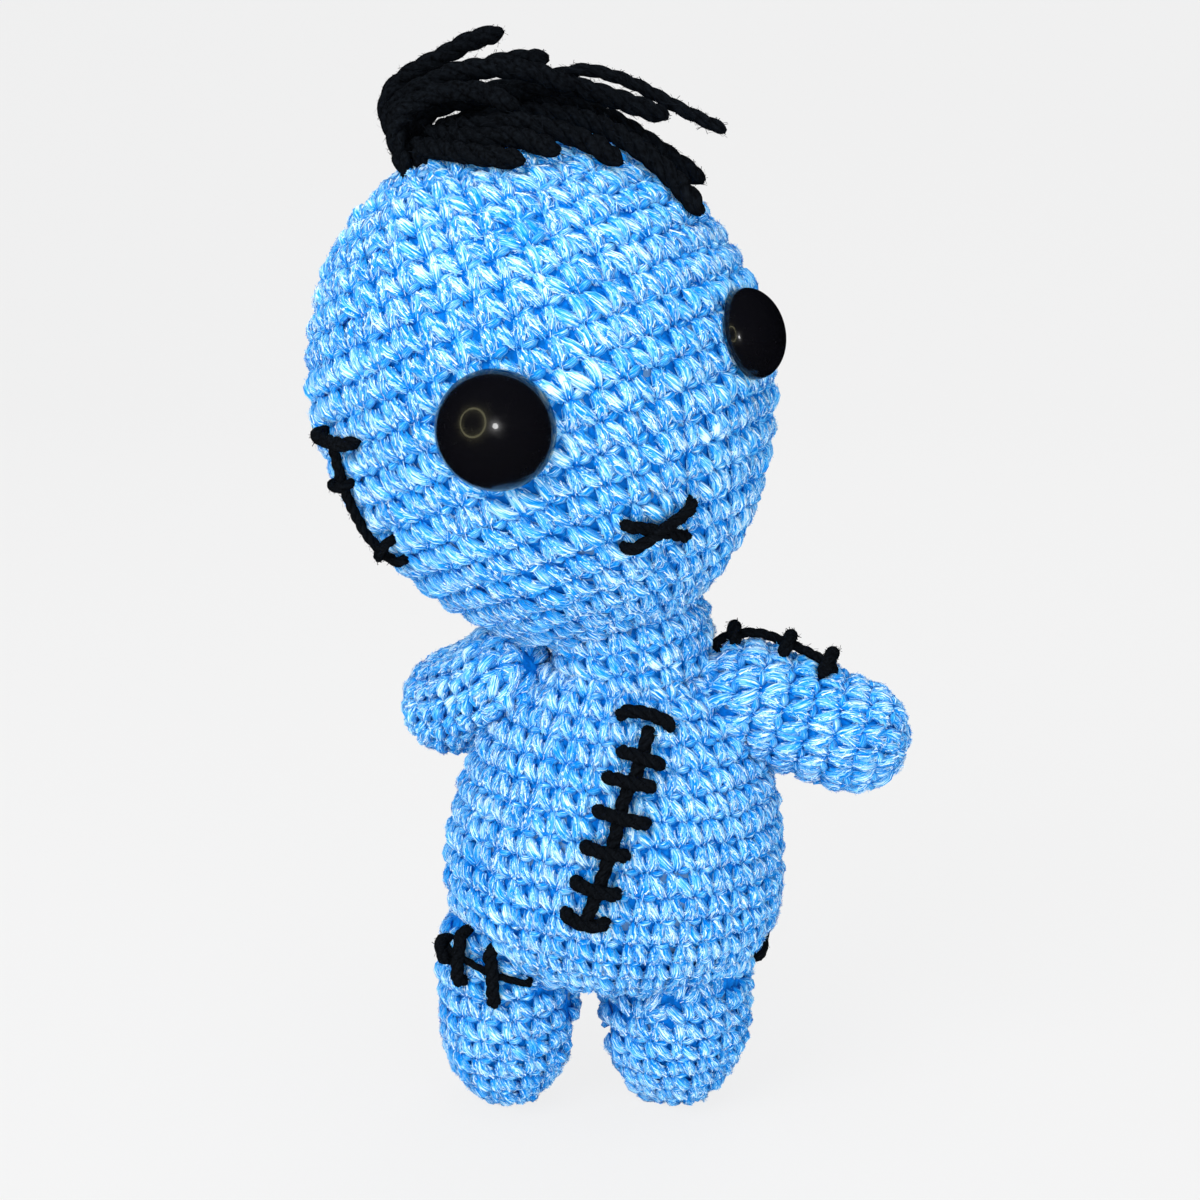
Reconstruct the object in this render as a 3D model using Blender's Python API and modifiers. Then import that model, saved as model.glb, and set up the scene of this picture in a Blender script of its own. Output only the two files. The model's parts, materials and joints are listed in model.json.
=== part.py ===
"""A small crocheted doll: stuffed fabric shells, safety eyes, embroidered scars and a tuft of yarn hair.

The doll faces -Y and stands on its two feet. Its left side is +X. Lengths are in metres, angles in degrees.
"""

import math

import bmesh
import bpy
from mathutils import Matrix, Vector
from mathutils.bvhtree import BVHTree

# Fabric, yarn and the space that touching pieces keep
GAP = 0.0003
MERGE = 0.00001
FABRIC = 0.0030
SCAR_YARN = 0.0020
SCAR_THREAD = 0.0014
HAIR_YARN = 0.0031
OVERRUN = 0.0040

# Torso: a pear that leans to the doll's left, measured along its own axis from the floor
TORSO_WIDTH = 0.0620
TORSO_DEPTH = 0.0510
TORSO_SHIFT = 0.0002
TORSO_WIDEST = 0.0460
TORSO_RISE = 0.0435
TORSO_DROP = 0.0212
TORSO_LEAN_DEG = 4.3
TORSO_TOP_POWER = 2.0
TORSO_SEAT_POWER = 2.3

# Neck: a ball of fabric that the head and the torso close round, centred just under the torso's top
NECK_SINK = 0.0006
NECK_HEIGHT = TORSO_WIDEST + TORSO_RISE - NECK_SINK
NECK_RADIUS = 0.0149
NECK_OPEN_DEG = 38.0

# Head: an egg on the neck, tilted to the doll's right and turned to its left
HEAD_RADIUS = 0.0405
HEAD_TOP = 0.0434
HEAD_BOTTOM = 0.0488
HEAD_RISE = 0.0480
HEAD_TILT_DEG = -20.0
HEAD_NOD_DEG = -3.8
HEAD_TURN_DEG = 30.4
HEAD_SLUMP_DEG = -3.0
HEAD_CHIN_POWER = 1.9
HEAD_CROWN_POWER = 2.0

# Legs: short and upright, each ending in a round foot that is flat where it stands
LEG_RADIUS = 0.0138
LEG_SPREAD = 0.0150
LEG_STANCE_DEG = 8.0
LEG_BACK = 0.0010
LEG_SHIFT = 0.0004
FOOT_HEIGHT = 0.0194
FOOT_FLAT = 0.0005
LEG_STRAIGHT = 0.0085
LEG_DEPTH_SHARE = 1.12
LEG_CROWN = 0.0180

# Arms: a round-ended tube each, from the shoulder seam to the centre of its round end. The heights are
# measured down from the neck's centre
LEFT_ARM_RADIUS = 0.0107
LEFT_SHOULDER_DROP = 0.0103
LEFT_HAND_DROP = 0.0166
LEFT_SHOULDER = (0.0275, 0.0000, NECK_HEIGHT - LEFT_SHOULDER_DROP)
LEFT_HAND = (0.0456, 0.0000, NECK_HEIGHT - LEFT_HAND_DROP)
RIGHT_ARM_RADIUS = 0.0099
RIGHT_SHOULDER_DROP = 0.0084
RIGHT_HAND_DROP = 0.0173
RIGHT_SHOULDER = (-0.0158, -0.0010, NECK_HEIGHT - RIGHT_SHOULDER_DROP)
RIGHT_HAND = (-0.0286, 0.0126, NECK_HEIGHT - RIGHT_HAND_DROP)
ARM_DEPTH_SHARE = 0.93
LEFT_ARM_LOWER_DEG = 14.0
LEFT_ARM_RAISE_DEG = 15.0
RIGHT_ARM_LOWER_DEG = 8.0
RIGHT_ARM_RAISE_DEG = 6.0

# Safety eyes: a domed front on a ribbed post, locked by a washer behind the fabric
RIGHT_EYE_RADIUS = 0.0093
LEFT_EYE_RADIUS = 0.0075
EYE_DOME_SHARE = 0.64
EYE_RIM = 0.0009
EYE_SINK = 0.0011
POST_RADIUS = 0.0022
POST_LENGTH = 0.0120
POST_RIB = 0.0004
POST_RIBS = 3
WASHER_RADIUS = 0.0070
WASHER_THICKNESS = 0.0018
WASHER_CLEARANCE = 0.0006

# Places on the head: turn from the face's middle, and height above the head's centre as a share of
# its bottom half
RIGHT_EYE_SHARES = (-33.6, -0.125)
LEFT_EYE_SHARES = (39.2, -0.066)
MOUTH_LOW_SHARES = ((-10.8, -0.527), (11.8, -0.656))
MOUTH_HIGH_SHARES = ((-12.0, -0.608), (13.0, -0.530))
CHEEK_SEAM_SHARES = (
    (-80.0, 0.020),
    (-83.0, -0.085),
    (-87.0, -0.195),
    (-90.0, -0.300),
    (-88.0, -0.385),
    (-82.0, -0.440),
)
CHEEK_BAR_SHARES = (
    ((-85.0, 0.070), (-69.0, -0.015)),
    ((-89.0, -0.110), (-78.0, -0.135)),
    ((-91.0, -0.395), (-75.0, -0.340)),
)

# Places on the belly: turn from straight ahead, and height as a share of the neck's height
BELLY_SEAM_SHARES = (
    (17.8, 0.872),
    (12.4, 0.805),
    (8.0, 0.760),
    (5.2, 0.679),
    (0.5, 0.582),
    (-1.2, 0.556),
)
BELLY_BAR_SHARES = (
    ((2.5, 0.909), (31.7, 0.893), 0.012),
    ((5.5, 0.848), (23.9, 0.829), 0.0),
    ((-0.2, 0.801), (20.0, 0.790), 0.0),
    ((-2.6, 0.741), (18.0, 0.724), 0.0),
    ((-5.7, 0.673), (10.5, 0.663), 0.0),
    ((-7.9, 0.604), (8.3, 0.589), 0.0),
    ((-10.8, 0.542), (5.0, 0.531), -0.012),
)

# Places on a leg: turn about the leg's own axis, and height as a share of the foot's height
RIGHT_LEG_SEAM_SHARES = ((-48.0, 1.76), (-27.0, 1.70), (-9.0, 1.60), (6.0, 1.54), (25.0, 1.47))
RIGHT_LEG_BAR_SHARES = (
    ((-54.0, 1.84), (-40.0, 1.64)),
    ((-32.0, 1.93), (-32.0, 1.44)),
    ((-7.0, 1.85), (-7.0, 1.29)),
)
LEFT_LEG_SEAM_SHARES = ((78.0, 1.58), (96.0, 1.60), (116.0, 1.58))
LEFT_LEG_BAR_SHARES = (((96.0, 1.80), (96.0, 1.38)),)

# Places on the left arm: turn from its top towards its front, and distance from the shoulder as a
# share of the arm's radius
ARM_SEAM_SHARES = ((-2.0, -0.45), (-6.0, -0.05), (-8.0, 0.45), (-4.0, 0.95), (8.0, 1.35), (14.0, 1.60))
ARM_BAR_SHARES = (
    ((-34.0, 0.02), (24.0, 0.00)),
    ((-34.0, 0.86), (34.0, 0.80)),
    ((-18.0, 1.52), (42.0, 1.36)),
)

# Hair: the side that it is swept to, and each strand's route from its root, as shares of the span.
# A point is along the sweep, across it, and up from the crown.
HAIR_SWEEP_DEG = -21.0
HAIR_SPAN = 0.0500
HAIR_SHARES = (
    (
        (-0.19, 0.12, 0.03),
        (-0.24, 0.13, 0.09),
        (-0.24, 0.15, 0.19),
        (-0.18, 0.17, 0.26),
        (-0.08, 0.19, 0.29),
        (0.03, 0.21, 0.31),
        (0.14, 0.22, 0.33),
        (0.24, 0.24, 0.33),
    ),
    (
        (-0.17, 0.05, 0.02),
        (-0.19, 0.06, 0.11),
        (-0.15, 0.08, 0.19),
        (-0.04, 0.10, 0.22),
        (0.10, 0.12, 0.21),
        (0.23, 0.13, 0.21),
        (0.36, 0.14, 0.18),
    ),
    (
        (-0.14, -0.03, 0.00),
        (-0.16, -0.01, 0.09),
        (-0.09, 0.00, 0.16),
        (0.07, 0.02, 0.14),
        (0.27, 0.03, 0.11),
        (0.43, 0.05, 0.09),
        (0.51, 0.05, 0.07),
        (0.63, 0.04, -0.02),
        (0.76, 0.03, -0.16),
        (0.86, 0.03, -0.26),
    ),
    (
        (-0.12, -0.10, -0.02),
        (-0.11, -0.09, 0.07),
        (-0.01, -0.07, 0.11),
        (0.20, -0.05, 0.08),
        (0.40, -0.04, 0.04),
        (0.54, -0.04, -0.05),
        (0.68, -0.05, -0.16),
    ),
    (
        (-0.08, 0.07, 0.00),
        (-0.02, 0.08, 0.05),
        (0.14, 0.10, 0.06),
        (0.35, 0.11, 0.02),
        (0.50, 0.11, -0.08),
        (0.62, 0.10, -0.22),
        (0.74, 0.09, -0.39),
    ),
    (
        (-0.05, -0.01, -0.02),
        (0.04, -0.03, 0.02),
        (0.23, -0.06, -0.02),
        (0.42, -0.15, -0.11),
        (0.55, -0.28, -0.25),
        (0.63, -0.35, -0.41),
        (0.67, -0.39, -0.52),
    ),
    (
        (-0.02, -0.14, -0.05),
        (0.07, -0.29, -0.03),
        (0.22, -0.35, -0.07),
        (0.35, -0.38, -0.16),
        (0.42, -0.42, -0.22),
        (0.47, -0.45, -0.29),
    ),
    (
        (-0.06, -0.21, -0.06),
        (0.06, -0.39, -0.08),
        (0.19, -0.44, -0.12),
        (0.29, -0.50, -0.20),
    ),
    (
        (-0.11, -0.28, -0.08),
        (0.03, -0.47, -0.13),
        (0.17, -0.54, -0.20),
    ),
    (
        (-0.11, 0.14, 0.02),
        (0.03, 0.16, 0.06),
        (0.25, 0.18, 0.05),
        (0.44, 0.19, -0.03),
        (0.56, 0.18, -0.13),
    ),
    (
        (-0.17, -0.18, -0.04),
        (-0.13, -0.19, 0.06),
        (0.08, -0.18, 0.09),
        (0.27, -0.19, 0.06),
        (0.41, -0.18, 0.00),
    ),
    (
        (-0.20, -0.26, -0.06),
        (-0.18, -0.28, 0.05),
        (-0.05, -0.29, 0.08),
        (0.10, -0.30, 0.06),
        (0.19, -0.31, 0.00),
    ),
)
HAIR_WISPS = (2,)
HAIR_WISP_SHARE = 0.72

# Counts of facets
HEAD_STEPS = 40
HEAD_ROWS = 18
TORSO_STEPS = 36
TORSO_ROWS = 16
LIMB_STEPS = 22
LIMB_ROWS = 6
LINING_STEPS = 18
LINING_ROWS = 8
HEAD_LINING_STEPS = 28
HEAD_LINING_ROWS = 14
BALL_STEPS = 24
BALL_ROWS = 12
EYE_STEPS = 20
EYE_ROWS = 5
HAIR_STEPS_PER_POINT = 2
YARN_SIDES_RESOLUTION = 1
YARN_POINTS = 7
YARN_TIP_SHARE = 0.7
HAIR_TIP_SHARE = 0.8
TAUT_PASSES = 6

BLUE = (0.145, 0.434, 0.871, 1.0)
FILLING = (0.60, 0.62, 0.64, 1.0)
BLACK_YARN = (0.006, 0.006, 0.008, 1.0)
BLACK_GLOSS = (0.004, 0.004, 0.005, 1.0)
CLEAR_PLASTIC = (0.72, 0.72, 0.70, 1.0)


def clear_scene():
    """Empty the file, and make the collections for the doll and for what cuts it."""
    for item in list(bpy.data.objects):
        bpy.data.objects.remove(item)
    made = []
    for name in ("crochet_doll", "cutters"):
        group = bpy.data.collections.new(name)
        bpy.context.scene.collection.children.link(group)
        made.append(group)
    return made


DOLL, CUTTERS = clear_scene()


def finish(name, colour, roughness, sheen=0.0):
    """A plain surface material."""
    made = bpy.data.materials.new(name)
    made.use_nodes = True
    shader = made.node_tree.nodes["Principled BSDF"]
    shader.inputs["Base Color"].default_value = colour
    shader.inputs["Roughness"].default_value = roughness
    shader.inputs["Metallic"].default_value = 0.0
    shader.inputs["Sheen Weight"].default_value = sheen
    return made


def turning(axis, degrees):
    return Matrix.Rotation(math.radians(degrees), 4, axis)


def about(point, rotation):
    """The rotation, carried out about a point."""
    return Matrix.Translation(point) @ rotation @ Matrix.Translation(-point)


def add_object(name, data, matrix, surface=None):
    """Link an object to the doll, or to the cutters where it has no surface material."""
    made = bpy.data.objects.new(name, data)
    made.matrix_world = matrix
    if surface is None:
        CUTTERS.objects.link(made)
        made.display_type = "WIRE"
        made.hide_render = True
    else:
        DOLL.objects.link(made)
        data.materials.append(surface)
    return made


def turned(name, outline, steps, matrix, surface=None):
    """Turn an outline of (radius, height) points, given from top to bottom, about its Z axis."""
    mesh = bpy.data.meshes.new(name)
    points = [(radius, 0.0, height) for radius, height in outline]
    mesh.from_pydata(points, [(i, i + 1) for i in range(len(points) - 1)], [])
    made = add_object(name, mesh, matrix, surface)
    screw = made.modifiers.new("turn", "SCREW")
    screw.axis = "Z"
    screw.steps = steps
    screw.render_steps = steps
    screw.use_merge_vertices = True
    screw.merge_threshold = MERGE
    screw.use_smooth_shade = True
    return made


def carve(target, *cutters):
    """Cut each of the cutters out of the target."""
    for cutter in cutters:
        cut = target.modifiers.new("cut_" + cutter.name, "BOOLEAN")
        cut.operation = "DIFFERENCE"
        cut.solver = "EXACT"
        cut.object = cutter


def egg(radius, top, bottom, rows, centre=0.0, power_top=2.0, power_bottom=2.0):
    """The outline of an egg, from its top pole to its bottom pole."""
    outline = []
    for i in range(rows + 1):
        angle = math.pi * i / rows
        rising = angle < math.pi / 2
        half, power = (top, power_top) if rising else (bottom, power_bottom)
        across = max(math.sin(angle), 0.0) ** (2.0 / power)
        along = abs(math.cos(angle)) ** (2.0 / power)
        height = centre + (half * along if rising else -half * along)
        outline.append((radius * across, height))
    outline[0] = (0.0, centre + top)
    outline[-1] = (0.0, centre - bottom)
    return outline


def ball(name, radius, rows, steps, matrix, surface=None):
    return turned(name, egg(radius, radius, radius, rows), steps, matrix, surface)


TORSO = Matrix.Translation((TORSO_SHIFT, 0.0, 0.0)) @ turning("Y", TORSO_LEAN_DEG)
PIVOT = TORSO @ Vector((0.0, 0.0, NECK_HEIGHT))
HEAD_TURNED = turning("Y", HEAD_TILT_DEG) @ turning("X", HEAD_NOD_DEG) @ turning("Z", HEAD_TURN_DEG)
HEAD = Matrix.Translation(PIVOT) @ HEAD_TURNED

FABRIC_BLUE = finish("blue_crochet", BLUE, 0.9, 0.3)
STUFFING = finish("polyester_filling", FILLING, 0.95)
SCAR_BLACK = finish("black_embroidery_yarn", BLACK_YARN, 0.85, 0.2)
HAIR_BLACK = finish("black_hair_yarn", BLACK_YARN, 0.85, 0.2)
EYE_BLACK = finish("black_glossy_plastic", BLACK_GLOSS, 0.08)
WASHER_CLEAR = finish("natural_plastic", CLEAR_PLASTIC, 0.45)


def torso_form(name, inset, rows, steps, surface=None, frame=TORSO):
    """The torso's closed form, drawn in by the inset and narrower from front to back."""
    outline = egg(
        TORSO_WIDTH / 2 - inset,
        TORSO_RISE - inset,
        TORSO_DROP - inset,
        rows,
        TORSO_WIDEST,
        TORSO_TOP_POWER,
        TORSO_SEAT_POWER,
    )
    narrowing = Matrix.Diagonal((1.0, (TORSO_DEPTH / 2 - inset) / (TORSO_WIDTH / 2 - inset), 1.0, 1.0))
    return turned(name, outline, steps, frame @ narrowing, surface)


def head_form(name, inset, rows, steps, surface=None, matrix=HEAD):
    top, bottom = HEAD_TOP - inset, HEAD_BOTTOM - inset
    outline = egg(HEAD_RADIUS - inset, top, bottom, rows, HEAD_RISE, HEAD_CROWN_POWER, HEAD_CHIN_POWER)
    return turned(name, outline, steps, matrix, surface)


def leg_frame(side):
    """A frame on the floor under a leg."""
    middle = Matrix.Translation((LEG_SHIFT, LEG_BACK, 0.0)) @ turning("Z", LEG_STANCE_DEG)
    return middle @ Matrix.Translation((side * LEG_SPREAD, 0.0, 0.0))


def leg_form(name, side, inset, steps, surface=None):
    """An upright leg with a round foot, flat at the floor, and a round top inside the torso."""
    radius = LEG_RADIUS - inset
    ankle = FOOT_HEIGHT - FOOT_FLAT
    hip = ankle + LEG_STRAIGHT
    outline = []
    for i in range(LIMB_ROWS + 1):
        angle = math.pi / 2 * i / LIMB_ROWS
        outline.append((radius * math.sin(angle), hip + (LEG_CROWN - inset) * math.cos(angle)))
    outline[0] = (0.0, outline[0][1])
    flat = math.acos(ankle / FOOT_HEIGHT)
    for i in range(LIMB_ROWS + 1):
        angle = flat + (math.pi / 2 - flat) * (1 - i / LIMB_ROWS)
        outline.append((radius * math.sin(angle), ankle - (FOOT_HEIGHT - inset) * math.cos(angle)))
    outline.append((0.0, outline[-1][1]))
    deepened = Matrix.Diagonal((1.0, LEG_DEPTH_SHARE, 1.0, 1.0))
    return turned(name, outline, steps, leg_frame(side) @ deepened, surface)


def arm_frame(shoulder, hand):
    """A frame at the shoulder: Z runs to the hand, Y is level, and X is across and downward."""
    along = (Vector(hand) - Vector(shoulder)).normalized()
    level = Vector((0.0, 0.0, 1.0)).cross(along).normalized()
    down = level.cross(along)
    turn = Matrix((down, level, along)).transposed().to_4x4()
    return Matrix.Translation(Vector(shoulder)) @ turn


def arm_form(name, shoulder, hand, radius, inset, steps, surface=None):
    """A tube with round ends, slightly flattened from front to back."""
    length = (Vector(hand) - Vector(shoulder)).length
    inner = radius - inset
    outline = []
    for i in range(LIMB_ROWS + 1):
        angle = math.pi / 2 * i / LIMB_ROWS
        outline.append((inner * math.sin(angle), length + inner * math.cos(angle)))
    outline[0] = (0.0, outline[0][1])
    for i in range(LIMB_ROWS + 1):
        angle = math.pi / 2 * i / LIMB_ROWS
        outline.append((inner * math.cos(angle), -inner * math.sin(angle)))
    outline[-1] = (0.0, outline[-1][1])
    flattened = Matrix.Diagonal((1.0, ARM_DEPTH_SHARE, 1.0, 1.0))
    return turned(name, outline, steps, arm_frame(shoulder, hand) @ flattened, surface)


def make_torso(neck_space, leg_rooms):
    """The torso's shell, open at the neck and into each leg, and its filling."""
    shell = torso_form("torso_shell", 0.0, TORSO_ROWS, TORSO_STEPS, FABRIC_BLUE)
    lining = torso_form("torso_lining", FABRIC, LINING_ROWS, LINING_STEPS)
    carve(shell, lining, neck_space, *leg_rooms)
    filling = torso_form("torso_stuffing", FABRIC + GAP, LINING_ROWS, LINING_STEPS, STUFFING)
    carve(filling, neck_space)
    return shell, lining


def make_legs(leg_rooms, torso_lining):
    """Each leg's shell and its filling, both cut by the torso that they run into."""
    torso_space = torso_form("torso_space", -GAP, TORSO_ROWS, TORSO_STEPS)
    shells = []
    for word, side, room in (("right", -1, leg_rooms[0]), ("left", 1, leg_rooms[1])):
        shell = leg_form("leg_" + word + "_shell", side, 0.0, LIMB_STEPS, FABRIC_BLUE)
        carve(shell, room, torso_space)
        filling = leg_form("leg_" + word + "_stuffing", side, FABRIC + GAP, LIMB_STEPS // 2, STUFFING)
        carve(filling, torso_lining)
        shells.append(shell)
    return shells


def make_arms(neck_centre):
    """Each arm's shell and filling, cut by the torso, the neck and the head wherever the arm swings."""
    right = (RIGHT_SHOULDER, RIGHT_HAND, RIGHT_ARM_RADIUS, RIGHT_ARM_RAISE_DEG, RIGHT_ARM_LOWER_DEG)
    left = (LEFT_SHOULDER, LEFT_HAND, LEFT_ARM_RADIUS, LEFT_ARM_RAISE_DEG, LEFT_ARM_LOWER_DEG)
    slumped = about(neck_centre, turning("Y", HEAD_SLUMP_DEG)) @ HEAD
    shells = {}
    for word, (shoulder, hand, radius, upward, lower) in (("right", right), ("left", left)):
        name = "arm_" + word
        shell = arm_form(name + "_shell", shoulder, hand, radius, 0.0, LIMB_STEPS, FABRIC_BLUE)
        lining = arm_form(name + "_lining", shoulder, hand, radius, FABRIC, LIMB_STEPS // 2)
        inset = FABRIC + GAP
        filling = arm_form(name + "_stuffing", shoulder, hand, radius, inset, LIMB_STEPS // 2, STUFFING)
        carve(shell, lining)
        axis = arm_axis(shoulder, hand)
        cutters = []
        for place, turn in (("raised", -upward), ("resting", 0.0), ("lowered", lower)):
            swing = about(Vector(shoulder), Matrix.Rotation(math.radians(turn), 4, axis))
            space = name + "_space_" + place
            cutters.append(torso_form(space, -GAP, TORSO_ROWS, TORSO_STEPS, None, swing @ TORSO))
            neck = swing @ Matrix.Translation(neck_centre)
            cutters.append(ball(space + "_neck", NECK_RADIUS + GAP, BALL_ROWS, BALL_STEPS, neck))
            if word == "right":
                cutters.append(head_form(space + "_head", -GAP, HEAD_ROWS, HEAD_STEPS, None, swing @ slumped))
        carve(shell, *cutters)
        carve(filling, *cutters)
        shells[word] = shell
    return shells


def arm_axis(shoulder, hand):
    """The level axis that an arm swings about, which raises the hand for a positive turn."""
    along = (Vector(hand) - Vector(shoulder)).normalized()
    return along.cross(Vector((0.0, 0.0, 1.0))).normalized()


def make_neck():
    """The neck's rounds of fabric, open above and below, round their filling."""
    half = math.radians(NECK_OPEN_DEG)
    outline = []
    for radius, forward in ((NECK_RADIUS, True), (NECK_RADIUS - FABRIC, False)):
        for i in range(LINING_ROWS + 1):
            share = i / LINING_ROWS if forward else 1 - i / LINING_ROWS
            angle = half + (math.pi - 2 * half) * share
            outline.append((radius * math.sin(angle), radius * math.cos(angle)))
    outline.append(outline[0])
    upright = Matrix.Translation(PIVOT) @ turning("Y", (HEAD_TILT_DEG + TORSO_LEAN_DEG) / 2)
    turned("neck_shell", outline, LIMB_STEPS, upright, FABRIC_BLUE)
    ball("neck_stuffing", NECK_RADIUS - FABRIC - GAP, LINING_ROWS, LINING_STEPS, upright, STUFFING)


def head_spot(turn_deg, height):
    """A frame on the head's surface in the head's own frame: Z points out of the head."""
    half = HEAD_TOP if height > 0 else HEAD_BOTTOM
    across = HEAD_RADIUS * math.sqrt(1 - (height / half) ** 2)
    turn = math.radians(turn_deg)
    level = Vector((math.sin(turn), -math.cos(turn), 0.0))
    point = level * across + Vector((0.0, 0.0, HEAD_RISE + height))
    normal = (level * (across / HEAD_RADIUS**2) + Vector((0.0, 0.0, height / half**2))).normalized()
    return Matrix.Translation(point) @ normal.to_track_quat("Z", "Y").to_matrix().to_4x4()


def eye_outline(radius):
    """A dome on a thin rim, and behind it the ribbed post."""
    outline = []
    for i in range(EYE_ROWS + 1):
        angle = math.pi / 2 * i / EYE_ROWS
        outline.append((radius * math.sin(angle), EYE_RIM + radius * EYE_DOME_SHARE * math.cos(angle)))
    outline[0] = (0.0, outline[0][1])
    outline.append((radius, 0.0))
    pitch = POST_LENGTH / (2 * POST_RIBS + 1)
    for i in range(2 * POST_RIBS + 1):
        across = POST_RADIUS - (POST_RIB if i % 2 else 0.0)
        outline.append((across, -pitch * i))
        outline.append((across, -pitch * (i + 1)))
    outline.append((0.0, -POST_LENGTH))
    return outline


def make_eye(word, radius, shares, shell, filling):
    """An eye in its dent of the fabric, its post through the fabric, and its washer inside."""
    seat = HEAD @ head_spot(shares[0], shares[1] * HEAD_BOTTOM) @ Matrix.Translation((0.0, 0.0, -EYE_SINK))
    turned("eye_" + word, eye_outline(radius), EYE_STEPS, seat, EYE_BLACK)
    above = radius * EYE_DOME_SHARE + OVERRUN
    dent = [
        (0.0, above),
        (radius + GAP, above),
        (radius + GAP, -GAP),
        (POST_RADIUS + GAP, -GAP),
        (POST_RADIUS + GAP, -POST_LENGTH - GAP),
        (0.0, -POST_LENGTH - GAP),
    ]
    carve(shell, turned("eye_" + word + "_dent", dent, EYE_STEPS, seat))
    inside = HEAD_RADIUS - FABRIC
    bulge = inside - math.sqrt(inside**2 - WASHER_RADIUS**2)
    face = EYE_SINK - FABRIC - bulge - WASHER_CLEARANCE
    back = face - WASHER_THICKNESS
    washer = [
        (POST_RADIUS + GAP, face),
        (WASHER_RADIUS, face),
        (WASHER_RADIUS, face - WASHER_THICKNESS / 2),
        (WASHER_RADIUS / 2, back),
        (POST_RADIUS + GAP, back),
        (POST_RADIUS + GAP, face),
    ]
    turned("eye_washer_" + word, washer, EYE_STEPS, seat, WASHER_CLEAR)
    pocket = [
        (0.0, above),
        (WASHER_RADIUS + GAP, above),
        (WASHER_RADIUS + GAP, back - GAP),
        (POST_RADIUS + GAP, back - GAP),
        (POST_RADIUS + GAP, -POST_LENGTH - GAP),
        (0.0, -POST_LENGTH - GAP),
    ]
    carve(filling, turned("eye_" + word + "_pocket", pocket, EYE_STEPS, seat))


def make_head(neck_space):
    """The head's shell, open at the neck, with its filling and both eyes."""
    shell = head_form("head_shell", 0.0, HEAD_ROWS, HEAD_STEPS, FABRIC_BLUE)
    lining = head_form("head_lining", FABRIC, HEAD_LINING_ROWS, HEAD_LINING_STEPS)
    filling = head_form("head_stuffing", FABRIC + GAP, HEAD_LINING_ROWS, HEAD_LINING_STEPS, STUFFING)
    carve(shell, lining, neck_space)
    carve(filling, neck_space)
    make_eye("right", RIGHT_EYE_RADIUS, RIGHT_EYE_SHARES, shell, filling)
    make_eye("left", LEFT_EYE_RADIUS, LEFT_EYE_SHARES, shell, filling)
    return shell


def surfaces(*shells):
    """The shells' evaluated surfaces, ready for laying yarn on them."""
    graph = bpy.context.evaluated_depsgraph_get()
    trees = []
    for shell in shells:
        mesh = bmesh.new()
        mesh.from_object(shell, graph)
        mesh.transform(shell.matrix_world)
        mesh.normal_update()
        trees.append(BVHTree.FromBMesh(mesh))
        mesh.free()
    return trees


def lay(trees, start, target):
    """Where a ray from the start to the target first meets a surface, and the normal there.

    Over an opening it is the nearest place on the surfaces."""
    aim = (target - start).normalized()
    hits = [tree.ray_cast(start, aim) for tree in trees]
    hits = [hit for hit in hits if hit[0] is not None and hit[3] < (target - start).length]
    hits = hits or [tree.find_nearest(start.lerp(target, 0.5)) for tree in trees]
    point, normal, _, _ = min(hits, key=lambda hit: hit[3])
    return point, normal


def yarn(name, points, radius, surface, narrow=YARN_TIP_SHARE):
    """A strand of yarn along the points, narrower at its two ends."""
    curve = bpy.data.curves.new(name, "CURVE")
    curve.dimensions = "3D"
    curve.bevel_depth = radius
    curve.bevel_resolution = YARN_SIDES_RESOLUTION
    curve.use_fill_caps = True
    spline = curve.splines.new("POLY")
    spline.points.add(len(points) - 1)
    for i, point in enumerate(points):
        spline.points[i].co = (*point, 1.0)
        spline.points[i].radius = narrow if i in (0, len(points) - 1) else 1.0
    return add_object(name, curve, Matrix.Identity(4), surface)


def between(stops, count):
    """Evenly spaced values along a broken line through the stops, rounded at its corners."""
    values = []
    for i in range(count):
        position = (len(stops) - 1) * i / (count - 1)
        first = min(int(position), len(stops) - 2)
        share = position - first
        before = stops[max(first - 1, 0)]
        after = stops[min(first + 2, len(stops) - 1)]
        near, far = stops[first], stops[first + 1]
        point = []
        for k in range(len(near)):
            slope_near = (far[k] - before[k]) / 2
            slope_far = (after[k] - near[k]) / 2
            cubic = 2 * near[k] - 2 * far[k] + slope_near + slope_far
            square = -3 * near[k] + 3 * far[k] - 2 * slope_near - slope_far
            point.append(((cubic * share + square) * share + slope_near) * share + near[k])
        values.append(tuple(point))
    return values


def clear_of(trees, point, outward, reach):
    """Push a point out to the reach from every outer surface that it is nearer to."""
    for tree in 2 * trees:
        near, normal, _, distance = tree.find_nearest(point)
        if distance < reach and normal.dot(outward) > 0.0:
            point = near + normal * reach
    return point


def stitch(name, trees, spot, stops, radius, rise=0.0, sag=0.0, count=YARN_POINTS):
    """A stitch laid on the surfaces and pulled taut. It rises in its middle to pass over another."""
    points, sides = [], []
    for i, (turn, place) in enumerate(between(stops, count)):
        swell = max(math.sin(math.pi * i / (count - 1)), 0.0)
        start, target = spot(turn, place + sag * swell)
        point, normal = lay(trees, start, target)
        reach = radius + GAP + rise * swell**0.5
        points.append(clear_of(trees, point + normal * reach, normal, reach))
        sides.append((normal, reach))
    for _ in range(TAUT_PASSES):
        for i in range(1, count - 1):
            middle = (points[i - 1] + points[i] + points[i + 1]) / 3
            points[i] = clear_of(trees, middle, *sides[i])
    return yarn(name, points, radius, SCAR_BLACK)


def around(matrix, scale, reach, base=0.0):
    """A function that gives the ray for a place (turn, share) round a frame's Z axis."""

    def spot(turn_deg, share):
        turn = math.radians(turn_deg)
        level = Vector((math.sin(turn), -math.cos(turn), 0.0))
        foot = Vector((0.0, 0.0, base + share * scale))
        return matrix @ (foot + level * reach), matrix @ foot

    return spot


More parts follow.
